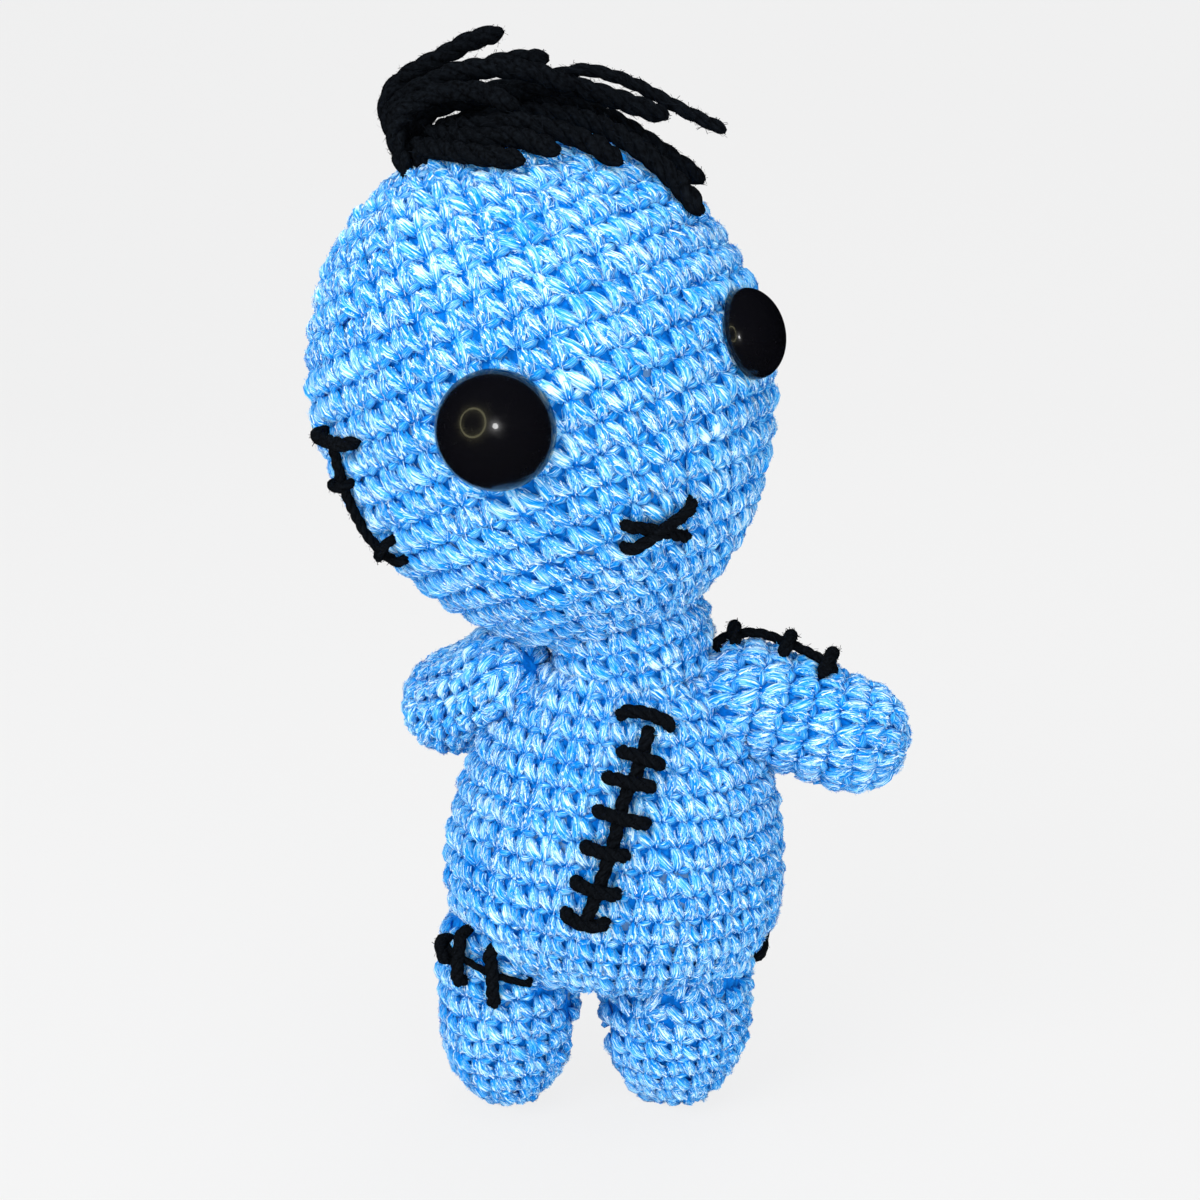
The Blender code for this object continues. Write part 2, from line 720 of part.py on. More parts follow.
def clear_of_head(point, reach):
    """Push a point of the head's own frame out to the reach from the head's surface."""
    for _ in range(6):
        low = point - Vector((0.0, 0.0, HEAD_RISE))
        half = HEAD_TOP if low.z > 0 else HEAD_BOTTOM
        sides = Vector((low.x / HEAD_RADIUS**2, low.y / HEAD_RADIUS**2, low.z / half**2))
        level = math.sqrt(low.dot(sides))
        distance = (level - 1.0) * level / sides.length
        if distance >= reach:
            break
        point = point + sides.normalized() * (reach - distance)
    return point


def on_head(point):
    """The point of the head's surface below or above a point, and the normal there."""
    low = point - Vector((0.0, 0.0, HEAD_RISE))
    height = HEAD_TOP * math.sqrt(1 - (low.x**2 + low.y**2) / HEAD_RADIUS**2)
    normal = Vector((low.x / HEAD_RADIUS**2, low.y / HEAD_RADIUS**2, height / HEAD_TOP**2)).normalized()
    return Vector((point.x, point.y, HEAD_RISE + height)), normal


def make_hair():
    """A tuft of thick yarn, each strand rooted on the crown and swept to the same side."""
    crown = Matrix.Translation((0.0, 0.0, HEAD_RISE + HEAD_TOP)) @ turning("Z", HAIR_SWEEP_DEG)
    for i, shares in enumerate(HAIR_SHARES):
        radius = HAIR_YARN / 2 * (HAIR_WISP_SHARE if i in HAIR_WISPS else 1.0)
        route = between(shares, HAIR_STEPS_PER_POINT * (len(shares) - 1) + 1)
        points = [crown @ (Vector(share) * HAIR_SPAN) for share in route]
        foot, normal = on_head(points[0])
        rising = (points[1] - foot).normalized().dot(normal)
        points[0] = foot + normal * (GAP + radius * math.sqrt(max(1 - rising**2, 0.0)))
        points[1:] = [clear_of_head(point, radius + GAP) for point in points[1:]]
        yarn("hair_strand_" + str(i + 1), [HEAD @ point for point in points], radius, HAIR_BLACK, HAIR_TIP_SHARE)


def make_mouth(head_trees):
    """Two stitches that cross."""
    spot = around(HEAD, HEAD_BOTTOM, 2 * HEAD_RADIUS, HEAD_RISE)
    half = SCAR_YARN / 2
    stitch("mouth_stitch_low", head_trees, spot, MOUTH_LOW_SHARES, half)
    stitch("mouth_stitch_high", head_trees, spot, MOUTH_HIGH_SHARES, half, SCAR_YARN + 2 * GAP)


def make_scar(name, trees, spot, seam, bars, seam_radius, seam_count):
    """A seam with bars across it."""
    stitch(name + "_seam", trees, spot, seam, seam_radius, count=seam_count)
    for i, bar in enumerate(bars):
        sag = bar[2] if len(bar) > 2 else 0.0
        rise = 0.0 if sag else 2 * seam_radius + 2 * GAP
        stitch(name + "_bar_" + str(i + 1), trees, spot, bar[:2], SCAR_YARN / 2, rise, sag)


neck_space = ball("neck_space", NECK_RADIUS + GAP, BALL_ROWS, BALL_STEPS, Matrix.Translation(PIVOT))
leg_rooms = [
    leg_form("leg_right_room", -1, FABRIC, LIMB_STEPS // 2),
    leg_form("leg_left_room", 1, FABRIC, LIMB_STEPS // 2),
]
torso_shell, torso_lining = make_torso(neck_space, leg_rooms)
leg_shells = make_legs(leg_rooms, torso_lining)
make_neck()
head_shell = make_head(neck_space)
arm_shells = make_arms(PIVOT)
bpy.context.view_layer.update()

head_trees = surfaces(head_shell)
body_trees = surfaces(torso_shell, *leg_shells)
arm_trees = surfaces(arm_shells["left"])
make_mouth(head_trees)
make_scar(
    "cheek_scar",
    head_trees,
    around(HEAD, HEAD_BOTTOM, 2 * HEAD_RADIUS, HEAD_RISE),
    CHEEK_SEAM_SHARES,
    CHEEK_BAR_SHARES,
    SCAR_THREAD / 2,
    2 * YARN_POINTS,
)
make_scar(
    "belly_scar",
    body_trees,
    around(TORSO, NECK_HEIGHT, TORSO_WIDTH),
    BELLY_SEAM_SHARES,
    BELLY_BAR_SHARES,
    SCAR_YARN / 2,
    3 * YARN_POINTS,
)
for word, side, seam, bars in (
    ("right", -1, RIGHT_LEG_SEAM_SHARES, RIGHT_LEG_BAR_SHARES),
    ("left", 1, LEFT_LEG_SEAM_SHARES, LEFT_LEG_BAR_SHARES),
):
    make_scar(
        "leg_" + word + "_scar",
        body_trees,
        around(leg_frame(side), FOOT_HEIGHT, 3 * LEG_RADIUS),
        seam,
        bars,
        SCAR_THREAD / 2,
        2 * YARN_POINTS,
    )

arm = arm_frame(LEFT_SHOULDER, LEFT_HAND) @ turning("Z", -90.0)
make_scar(
    "arm_left_scar",
    arm_trees,
    around(arm, LEFT_ARM_RADIUS, 3 * LEFT_ARM_RADIUS),
    ARM_SEAM_SHARES,
    ARM_BAR_SHARES,
    SCAR_THREAD / 2,
    2 * YARN_POINTS,
)
make_hair()


def centre_on_floor():
    """Move everything so that the doll's overall box is centred over the origin."""
    bpy.context.view_layer.update()
    graph = bpy.context.evaluated_depsgraph_get()
    places = []
    for item in DOLL.objects:
        shape = item.evaluated_get(graph)
        places += [item.matrix_world @ vertex.co for vertex in shape.to_mesh().vertices]
        shape.to_mesh_clear()
    middle = [(min(p[k] for p in places) + max(p[k] for p in places)) / 2 for k in range(2)]
    shift = Matrix.Translation((-middle[0], -middle[1], 0.0))
    for item in bpy.data.objects:
        item.matrix_world = shift @ item.matrix_world
    return shift


SHIFT = centre_on_floor()
for name, point, axis in (
    ("head_tilt", PIVOT, Vector((0.0, 1.0, 0.0))),
    ("head_turn", PIVOT, HEAD_TURNED.to_3x3() @ Vector((0.0, 0.0, 1.0))),
    ("arm_left_raise", Vector(LEFT_SHOULDER), arm_axis(LEFT_SHOULDER, LEFT_HAND)),
    ("arm_right_raise", Vector(RIGHT_SHOULDER), arm_axis(RIGHT_SHOULDER, RIGHT_HAND)),
):
    place = SHIFT @ point
    print(name, [round(value, 5) for value in place], [round(value, 5) for value in axis])
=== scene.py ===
# %% [markdown]
# # The looks of a small crocheted doll
#
# The doll is made of single crochet in fuzzy light blue yarn, worked round and round from the feet to the
# crown and stuffed until it is firm. It has glossy black eyes, scars and a mouth sewn in black yarn, and a tuft of
# thick black yarn for hair. This lesson dresses the plain solids of the doll in stitches, one small shape repeated
# on every round. The first cell loads those solids, which stay as they are.

import json
import math

import bmesh
import bpy
import numpy as np
from mathutils import Matrix, Vector, noise
from mathutils.bvhtree import BVHTree


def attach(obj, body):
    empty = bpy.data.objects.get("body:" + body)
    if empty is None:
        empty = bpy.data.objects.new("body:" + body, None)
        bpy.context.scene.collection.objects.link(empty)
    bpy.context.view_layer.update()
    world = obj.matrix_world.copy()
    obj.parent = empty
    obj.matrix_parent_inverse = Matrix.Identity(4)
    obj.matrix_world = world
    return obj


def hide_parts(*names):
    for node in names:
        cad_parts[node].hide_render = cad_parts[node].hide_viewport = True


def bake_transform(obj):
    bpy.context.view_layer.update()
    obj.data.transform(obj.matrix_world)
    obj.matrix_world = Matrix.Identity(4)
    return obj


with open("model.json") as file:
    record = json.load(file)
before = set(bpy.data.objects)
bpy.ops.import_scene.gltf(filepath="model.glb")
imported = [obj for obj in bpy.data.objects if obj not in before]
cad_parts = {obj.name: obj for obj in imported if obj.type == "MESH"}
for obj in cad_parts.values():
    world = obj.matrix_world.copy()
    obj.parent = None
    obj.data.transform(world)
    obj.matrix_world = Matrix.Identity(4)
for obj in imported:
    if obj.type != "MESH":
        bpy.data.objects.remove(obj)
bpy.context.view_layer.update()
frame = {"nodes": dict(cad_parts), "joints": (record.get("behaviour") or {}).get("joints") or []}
MM = 0.001

# %% [markdown]
# ## Forms
#
# A crocheted doll is a set of turned forms: eggs, a ball and tubes. Each could be sculpted, but a profile is exact: a
# line of (radius, height) points that runs up the form's own axis. The sizes are the ones that the solids were made
# with, and the points where pieces meet are read from the solids' joints, so nothing has to be fitted by eye.

# %% Sizes of the forms
JOINT = {joint["name"]: joint for joint in frame["joints"]}
PIVOT = Vector(JOINT["head_tilt"]["pos_m"])

HEAD_RADIUS, HEAD_TOP, HEAD_BOTTOM, HEAD_RISE = 40.5 * MM, 43.4 * MM, 48.8 * MM, 48.0 * MM
HEAD_TILT, HEAD_NOD, HEAD_TURN, HEAD_CHIN = -20.0, -3.8, 30.4, 1.9
TORSO_HALF, TORSO_HALF_DEPTH, TORSO_WIDEST, TORSO_SIDE = 31.0 * MM, 25.5 * MM, 46.0 * MM, 0.2 * MM
TORSO_RISE, TORSO_DROP, TORSO_SEAT, TORSO_LEAN = 43.5 * MM, 21.2 * MM, 2.3, 4.3
NECK_RADIUS, NECK_HEIGHT = 14.9 * MM, 88.9 * MM
LEG_RADIUS, LEG_SPREAD, LEG_STANCE, LEG_BACK, LEG_SHIFT = 13.8 * MM, 15.4 * MM, 8.0, 1.0 * MM, -0.4 * MM
LEG_DEPTH, FOOT_HEIGHT, FOOT_FLAT, LEG_HIP, LEG_CROWN = 1.12, 19.4 * MM, 0.5 * MM, 27.4 * MM, 18.0 * MM
LEG_SWELL = {-1: 0.97, 1: 1.05}
ARM_DEPTH = 0.93
# Each arm: its shoulder, the reach from there to the hand, and its radius
ARMS = {
    "left": (Vector(JOINT["arm_left_raise"]["pos_m"]), Vector((18.1, 0.0, -6.3)) * MM, 10.7 * MM),
    "right": (Vector(JOINT["arm_right_raise"]["pos_m"]), Vector((-12.8, 13.6, -8.9)) * MM, 9.9 * MM),
}
FLOOR_X = PIVOT.x - (TORSO_SIDE + NECK_HEIGHT * math.sin(math.radians(TORSO_LEAN)))
FLOOR_Y = PIVOT.y


def turning(axis, degrees):
    return Matrix.Rotation(math.radians(degrees), 4, axis)


FLOOR = Matrix.Translation((FLOOR_X, FLOOR_Y, 0.0))
HEAD = Matrix.Translation(PIVOT) @ turning("Y", HEAD_TILT) @ turning("X", HEAD_NOD) @ turning("Z", HEAD_TURN)
TORSO = FLOOR @ Matrix.Translation((TORSO_SIDE, 0.0, 0.0)) @ turning("Y", TORSO_LEAN)
print("pivot", [round(value / MM, 2) for value in PIVOT], "floor centre", round(FLOOR_X / MM, 2))

# %% Profiles, from the lowest point to the highest
QUARTER = math.pi / 2


def egg_profile(radius, top, bottom, centre, power_top=2.0, power_bottom=2.0, count=160):
    points = []
    for i in range(count + 1):
        angle = math.pi * (1 - i / count)
        upper = angle < math.pi / 2
        half, power = (top, power_top) if upper else (bottom, power_bottom)
        across = max(math.sin(angle), 0.0) ** (2.0 / power)
        along = abs(math.cos(angle)) ** (2.0 / power)
        points.append((radius * across, centre + (half * along if upper else -half * along)))
    return points


def leg_profile(count=60):
    ankle = FOOT_HEIGHT - FOOT_FLAT
    flat = math.acos(ankle / FOOT_HEIGHT)
    angles = [flat + (QUARTER - flat) * i / count for i in range(count + 1)]
    points = [(LEG_RADIUS * math.sin(angle), ankle - FOOT_HEIGHT * math.cos(angle)) for angle in angles]
    angles = [QUARTER * i / count for i in range(count + 1)]
    hip = [(LEG_RADIUS * math.cos(angle), LEG_HIP + LEG_CROWN * math.sin(angle)) for angle in angles]
    return [(0.0, 0.0), *points, *hip]


def arm_profile(radius, length, count=60):
    """From the tip of the hand to the round end inside the shoulder."""
    angles = [QUARTER * i / count for i in range(count + 1)]
    hand = [(radius * math.sin(angle), -length - radius * math.cos(angle)) for angle in angles]
    return hand + [(radius * math.cos(angle), radius * math.sin(angle)) for angle in angles]


PROFILES = {
    "head": egg_profile(HEAD_RADIUS, HEAD_TOP, HEAD_BOTTOM, HEAD_RISE, 2.0, HEAD_CHIN),
    "torso": egg_profile(TORSO_HALF, TORSO_RISE, TORSO_DROP, TORSO_WIDEST, 2.0, TORSO_SEAT),
    "leg_right": leg_profile(),
    "leg_left": leg_profile(),
    "neck": egg_profile(NECK_RADIUS, NECK_RADIUS, NECK_RADIUS, 0.0),
    **{"arm_" + word: arm_profile(radius, reach.length) for word, (_, reach, radius) in ARMS.items()},
}
print("head from", round(PROFILES["head"][0][1] / MM, 1), "to", round(PROFILES["head"][-1][1] / MM, 1), "mm")

# %% [markdown]
# ## Turned skins
#
# Each form is turned into a closed mesh. The torso and its two legs are one cloth on the real doll. Copies that only
# overlap would show a sharp crease, so those three are fused by a voxel remesh, and smoothing rounds the crease where
# a leg leaves the belly. A little noise makes the stuffing uneven, as a hand leaves it.

# %% Turn a profile into a mesh


def new_object(name, data):
    """An object in the scene that holds a mesh, a light or a camera."""
    made = bpy.data.objects.new(name, data)
    bpy.context.scene.collection.objects.link(made)
    return made


def new_solid(name, vertices, faces, edges=()):
    mesh = bpy.data.meshes.new(name)
    mesh.from_pydata(vertices, edges, faces)
    return new_object(name, mesh)


def turned(name, profile, matrix, steps=72, rows=44):
    """A closed mesh from rings along the profile, with one vertex at each pole."""
    stops = [profile[round(i * (len(profile) - 1) / rows)] for i in range(1, rows)]
    vertices = [Vector((0.0, 0.0, profile[0][1]))]
    for radius, height in stops:
        for k in range(steps):
            vertices.append(on_ring(2 * math.pi * k / steps) * radius + Vector((0.0, 0.0, height)))
    vertices.append(Vector((0.0, 0.0, profile[-1][1])))
    last = len(vertices) - 1
    top = last - steps
    faces = [(0, 1 + (k + 1) % steps, 1 + k) for k in range(steps)]
    for low in range(1, top, steps):
        for k in range(steps):
            after = (k + 1) % steps
            faces.append((low + k, low + after, low + steps + after, low + steps + k))
    faces += [(top + k, top + (k + 1) % steps, last) for k in range(steps)]
    made = new_solid(name, [matrix @ vertex for vertex in vertices], faces)
    made.data.shade_smooth()
    return made


def on_ring(turn):
    """The level direction at a turn, which starts at the front and goes to the doll's left."""
    return Vector((math.sin(turn), -math.cos(turn), 0.0))


def leg_frame(side):
    middle = FLOOR @ Matrix.Translation((LEG_SHIFT, LEG_BACK, 0.0)) @ turning("Z", LEG_STANCE)
    shape = Matrix.Diagonal((LEG_SWELL[side], LEG_DEPTH, 1.0, 1.0))
    return middle @ Matrix.Translation((side * LEG_SPREAD, 0.0, 0.0)) @ shape


def arm_frame(word):
    """A frame at the shoulder whose Z points back from the hand, and whose Y points up."""
    shoulder, reach, _ = ARMS[word]
    back = -reach.normalized()
    level = Vector((0.0, 0.0, 1.0)).cross(back).normalized()
    upward = back.cross(level)
    turn = Matrix((level, upward, back)).transposed().to_4x4()
    return Matrix.Translation(shoulder) @ turn @ Matrix.Diagonal((ARM_DEPTH, 1.0, 1.0, 1.0))


FRAMES = {
    "head": HEAD,
    "torso": TORSO @ Matrix.Diagonal((1.0, TORSO_HALF_DEPTH / TORSO_HALF, 1.0, 1.0)),
    "leg_right": leg_frame(-1),
    "leg_left": leg_frame(1),
    "neck": Matrix.Translation(PIVOT) @ turning("Y", (HEAD_TILT + TORSO_LEAN) / 2),
    "arm_left": arm_frame("left"),
    "arm_right": arm_frame("right"),
}
FORMS = {part: turned(part + "_form", PROFILES[part], FRAMES[part]) for part in FRAMES}
print({part: len(form.data.polygons) for part, form in FORMS.items()})

# %% Fuse the torso and the legs into one cloth
FUSE_VOXEL, FUSE_SMOOTHING = 1.1 * MM, 7

body = new_solid("body_skin", [], [])
together = bmesh.new()
for part in ("torso", "leg_right", "leg_left"):
    together.from_mesh(FORMS[part].data)
together.to_mesh(body.data)
together.free()
remesh = body.modifiers.new("fuse", "REMESH")
remesh.mode = "VOXEL"
remesh.voxel_size = FUSE_VOXEL
smooth = body.modifiers.new("round", "SMOOTH")
smooth.factor = 0.5
smooth.iterations = FUSE_SMOOTHING
fused = bpy.data.meshes.new_from_object(body.evaluated_get(bpy.context.evaluated_depsgraph_get()))
body.modifiers.clear()
body.data = fused
fused.shade_smooth()
SKINS = {"body": body}
for part in ("head", "neck", "arm_left", "arm_right"):
    SKINS[part] = new_object(part + "_skin", FORMS[part].data.copy())
print("body skin faces", len(fused.polygons))

# %% Uneven stuffing
LUMP, LUMP_SIZE = 0.35 * MM, 16.0 * MM

for skin in SKINS.values():
    for vertex in skin.data.vertices:
        vertex.co += vertex.normal * (LUMP * noise.noise(vertex.co / LUMP_SIZE))
    skin.data.update()
print("lowest point of the cloth", round(min(vertex.co.z for vertex in body.data.vertices) / MM, 2), "mm")

# %% [markdown]
# ## Where the stitches go
#
# A crocheter works in a spiral: each round lies one row above the last, and holds as many stitches as fit round the
# form there. A texture on a grid would pinch at the poles, so the rounds are laid as a crocheter lays them. Rays are
# shot at the form all the way round, and the points that they hit are divided into stitches of even width. Each
# stitch is kept as one point with its directions, outwards and along the row, and its width and height.

# %% Rays onto a form
RAYS, REACH, TINY = 96, 9.0 * MM, 1e-9


def tree_of(item):
    vertices = [vertex.co.copy() for vertex in item.data.vertices]
    faces = [tuple(face.vertices) for face in item.data.polygons]
    return BVHTree.FromPolygons(vertices, faces)


TREES = {part: tree_of(skin) for part, skin in SKINS.items()}
FORM_TREES = {part: tree_of(form) for part, form in FORMS.items()}


def outside(part, point):
    """How far the point lies outside a form. It is negative inside."""
    near, normal, _, distance = FORM_TREES[part].find_nearest(point)
    return distance if (point - near).dot(normal) > 0 else -distance


class Profile:
    """A profile that can be read at any distance along it."""

    def __init__(self, points):
        self.points = points
        self.marks = [0.0]
        for before, after in zip(points, points[1:]):
            self.marks.append(self.marks[-1] + math.dist(before, after))
        self.length = self.marks[-1]

    def at(self, distance):
        distance = min(max(distance, 0.0), self.length)
        i, share = between(self.marks, distance, len(self.points) - 2)
        (r0, z0), (r1, z1) = self.points[i], self.points[i + 1]
        run = Vector((r1 - r0, z1 - z0)).normalized()
        return r0 + (r1 - r0) * share, z0 + (z1 - z0) * share, run


def between(marks, distance, last):
    """Which two marks a distance lies between, and how far along."""
    i = min(max(int(np.searchsorted(marks, distance)) - 1, 0), last)
    return i, (distance - marks[i]) / max(marks[i + 1] - marks[i], TINY)


LINES = {part: Profile(points) for part, points in PROFILES.items()}
print("head profile", round(LINES["head"].length / MM, 1), "mm")

# %% Lay the rounds
DRIFT, MOST_OFF, LEAST_APART = 0.15, 4.0 * MM, 2.9 * MM
# For each form: the piece it is part of, its row and pitch, how far its rounds stay from both ends of the profile,
# how far its stitches stay out of other forms, and which those are. The lengths are in millimetres.
ROUNDS = {
    "head": ("head", 5.2, 5.2, 5.0, 1.5, -1.2, ("neck",)),
    "torso": ("body", 4.6, 4.6, 3.0, 4.0, -0.6, ("neck", "leg_right", "leg_left")),
    "leg_right": ("body", 4.0, 5.0, 2.0, 14.0, 0.3, ("torso",)),
    "leg_left": ("body", 4.0, 5.0, 2.0, 14.0, 0.3, ("torso",)),
    "neck": ("neck", 4.6, 4.6, 8.0, 8.0, 0.0, ()),
    "arm_left": ("arm_left", 4.7, 4.8, 1.5, 3.0, -1.4, ("torso", "neck")),
    "arm_right": ("arm_right", 4.7, 4.8, 1.5, 3.0, -1.4, ("torso", "neck", "head")),
}


def ring_of_hits(tree, matrix, line, start, row):
    """Points, outward and upward directions once round the form, rising by one row."""
    turned_normal = matrix.to_3x3().inverted().transposed()
    hits = []
    for j in range(RAYS + 1):
        radius, height, run = line.at(start + row * j / RAYS)
        level = on_ring(2 * math.pi * j / RAYS)
        spot = matrix @ (level * radius + Vector((0.0, 0.0, height)))
        outward = (turned_normal @ (level * run.y - Vector((0.0, 0.0, run.x)))).normalized()
        upward = (matrix.to_3x3() @ (level * run.x + Vector((0.0, 0.0, run.y)))).normalized()
        found, normal, _, _ = tree.ray_cast(spot + outward * REACH, -outward, 2 * REACH)
        if found is None:
            found, normal = spot, outward
        hits.append((found, normal, upward, (found - spot).length))
    return hits


def lay_rounds(tree, matrix, line, row, pitch, first, last, reach, others):
    """The stitches of all rounds between two distances along the profile."""
    rounds = max(1, round((last - first) / row))
    row = (last - first) / rounds
    stitches, offset = [], 0.0
    for k in range(rounds):
        hits = ring_of_hits(tree, matrix, line, first + row * k, row)
        marks = [0.0]
        for before, after in zip(hits, hits[1:]):
            marks.append(marks[-1] + (after[0] - before[0]).length)
        count = max(5, round(marks[-1] / pitch))
        width = marks[-1] / count
        offset += DRIFT
        for i in range(count):
            j, share = between(marks, ((i + offset) % count) * width, RAYS - 1)
            place, outward, upward = (a.lerp(b, share) for a, b in zip(hits[j][:3], hits[j + 1][:3]))
            outward = outward.normalized()
            along = upward.cross(outward).normalized()
            on_form = max(hits[j][3], hits[j + 1][3]) < MOST_OFF
            if on_form and all(outside(part, place) > reach for part in others):
                stitches.append((place, outward, along, (width, row)))
    return stitches


LAID = {}
for form, (piece, row, pitch, low, high, reach, others) in ROUNDS.items():
    sizes = (row * MM, pitch * MM, low * MM, LINES[form].length - high * MM, reach * MM)
    stitches = lay_rounds(TREES[piece], FRAMES[form], LINES[form], *sizes, others)
    LAID.setdefault(piece, []).extend(reversed(stitches) if form == "torso" else stitches)
# A stitch that crowds one laid before it is left out
kept = []
for stitch in LAID["body"]:
    if all((stitch[0] - other[0]).length > LEAST_APART for other in kept):
        kept.append(stitch)
LAID["body"] = kept
print("stitches", {part: len(stitches) for part, stitches in LAID.items()})

# %% [markdown]
# ## Small helpers for node trees
#
# Every shape that repeats is made by Geometry Nodes, in a tree that is built line by line. Loops in Python could copy
# a stitch too, but a tree does it faster, and a reader can open it. The helpers keep that short: they add a node and
# fill its sockets, add a named input to a tree, and run a tree on a guide and keep the result as a plain mesh.

# %% Node helpers


def add(tree, kind, sockets=None, **settings):
    """Add a node. Sockets are given by name or number, as a value or as another node's output."""
    made = tree.nodes.new(kind)
    for name, value in settings.items():
        setattr(made, name, value)
    for name, value in (sockets or {}).items():
        socket = made.inputs[name]
        if isinstance(value, bpy.types.NodeSocket):
            tree.links.new(value, socket)
        else:
            socket.default_value = value
    return made


def out(tree, kind, sockets=None, **settings):
    """The first output of a new node."""
    return add(tree, kind, sockets, **settings).outputs[0]


def maths(tree, operation, *values):
    """One step of arithmetic, on numbers or on outputs."""
    return out(tree, "ShaderNodeMath", dict(enumerate(values)), operation=operation)


def scaled(tree, vector, factor):
    return out(tree, "ShaderNodeVectorMath", {0: vector, "Scale": factor}, operation="SCALE")


def position_z(tree):
    place = out(tree, "GeometryNodeInputPosition")
    return add(tree, "ShaderNodeSeparateXYZ", {0: place}).outputs["Z"]


def new_tree(name, **inputs):
    """A modifier tree with a geometry input, and one input for each name, of the kind of its value."""
    kinds = {float: "NodeSocketFloat", int: "NodeSocketInt", bpy.types.Material: "NodeSocketMaterial"}
    tree = bpy.data.node_groups.new(name, "GeometryNodeTree")
    tree.interface.new_socket("Geometry", in_out="INPUT", socket_type="NodeSocketGeometry")
    tree.interface.new_socket("Geometry", in_out="OUTPUT", socket_type="NodeSocketGeometry")
    for key, value in inputs.items():
        socket = tree.interface.new_socket(key, in_out="INPUT", socket_type=kinds[type(value)])
        if not isinstance(value, bpy.types.Material):
            socket.default_value = value
    return tree, add(tree, "NodeGroupInput").outputs


def dressed(guide, tree, name, **inputs):
    """Run the tree on the guide, and keep the result as a plain mesh object."""
    run = guide.modifiers.new(name, "NODES")
    run.node_group = tree
    for item in tree.interface.items_tree:
        if item.in_out == "INPUT" and item.name in inputs:
            run[item.identifier] = inputs[item.name]
    mesh = bpy.data.meshes.new_from_object(guide.evaluated_get(bpy.context.evaluated_depsgraph_get()))
    guide.modifiers.remove(run)
    mesh.name = name
    return new_object(name, mesh)


def random_value(tree, kind, low, high, seed):
    """A random number, or vector, for each element."""
    first = {"FLOAT_VECTOR": 0, "FLOAT": 2, "INT": 4}[kind]
    sockets = {first: low, first + 1: high, "Seed": seed}
    return add(tree, "FunctionNodeRandomValue", sockets, data_type=kind).outputs[first // 2]


print("helpers ready")

# %% [markdown]
# ## Colours and finishes
#
# The yarn looks nearly white where the light catches its fibres, and deep blue in the holes, because light that
# bounces between blue fibres gets bluer each time. Some of that comes with the light. The rest is painted, by a
# value that each stitch carries, which is more even than a painted texture: how far a point lies above the bottom of
# the holes. Low points get painted shade in deep blue, and the tops get a painted highlight near white. Fine streaks
# along the strand, from noise that is stretched along it, stand for the fibres.

# %% Colours
# The palest blue: a painted highlight on the tops of the strands and on pale fibres
PAINTED_HIGHLIGHT_BLUE = (0.70, 0.88, 1.0, 1.0)
LIGHT_BLUE = (0.17, 0.56, 0.90, 1.0)
MID_BLUE = (0.008, 0.29, 0.78, 1.0)
# Painted shade: the bottoms of the strands and of the fibres, and the holes
PAINTED_SHADE_BLUE = (0.001, 0.18, 0.66, 1.0)
# Painted shade: the back of the fabric down the holes, darker than the yarn itself
HOLE_SHADE_BLUE = (0.001, 0.12, 0.46, 1.0)
# Flecks of the filling down the holes, darkened as painted shade
SHADED_FILLING_GREY = (0.12, 0.26, 0.46, 1.0)
BLACK = (0.0010, 0.0011, 0.0015, 1.0)
BLACK_FIBRE = (0.006, 0.008, 0.011, 1.0)
EYE_BLACK = (0.0022, 0.0022, 0.0032, 1.0)
PALE = (0.888, 0.888, 0.888, 1.0)
DARK_ROOM = (0.004, 0.004, 0.006, 1.0)


def new_material(name, roughness, sheen=0.0, sheen_tint=(1.0, 1.0, 1.0, 1.0), specular=0.5, coat=0.0):
    """A material with its constant values set on the shader's own sockets."""
    made = bpy.data.materials.new(name)
    made.use_nodes = True
    shader = made.node_tree.nodes["Principled BSDF"]
    values = {
        "Roughness": roughness,
        "Sheen Weight": sheen,
        "Sheen Roughness": 0.45,
        "Sheen Tint": sheen_tint,
        "Specular IOR Level": specular,
        "Coat Weight": coat,
        "Coat Roughness": 0.03,
    }
    for key, value in values.items():
        shader.inputs[key].default_value = value
    return made, made.node_tree, shader


def ramp(tree, factor, stops):
    """A colour ramp with the stops (place, colour)."""
    made = add(tree, "ShaderNodeValToRGB", {"Fac": factor})
    elements = made.color_ramp.elements
    for i, (place, colour) in enumerate(stops):
        element = elements[i] if i < len(elements) else elements.new(place)
        element.position = place
        element.color = colour
    return made.outputs["Color"]


def mixed(tree, factor, first, second):
    """Two colours mixed by a factor."""
    return add(tree, "ShaderNodeMix", {0: factor, 6: first, 7: second}, data_type="RGBA").outputs[2]


def attribute(tree, name):
    return add(tree, "ShaderNodeAttribute", attribute_name=name).outputs["Fac"]


def clouds(tree, scale, detail):
    """Noise in the object's own space."""
    place = add(tree, "ShaderNodeTexCoord").outputs["Object"]
    return add(tree, "ShaderNodeTexNoise", {"Vector": place, "Scale": scale, "Detail": detail}).outputs["Fac"]


def bumped(tree, shader, height, strength, distance):
    bump = add(tree, "ShaderNodeBump", {"Height": height, "Strength": strength, "Distance": distance})
    tree.links.new(bump.outputs[0], shader.inputs["Normal"])


print("blue", [round(value, 2) for value in MID_BLUE[:3]])

# %% The crocheted yarn
STREAKS_ROUND, STREAKS_ALONG, STREAKS_APART = 26.0, 3.0, 37.0
# How much the streaks, the patches and each stitch's own shade change the colour
FINE_SHARE, PATCH_SHARE, SHADE_SHARE = 2.8, 0.35, 0.16
# How much the height above the holes lightens the colour, which paints shade low down and a highlight on top, and the
# lowest value
DEPTH_SHARE, DARKEST = 0.68, 0.01
SHEEN_TINT, FIBRE_TINT = (0.60, 0.82, 1.0, 1.0), (0.85, 0.93, 1.0, 1.0)


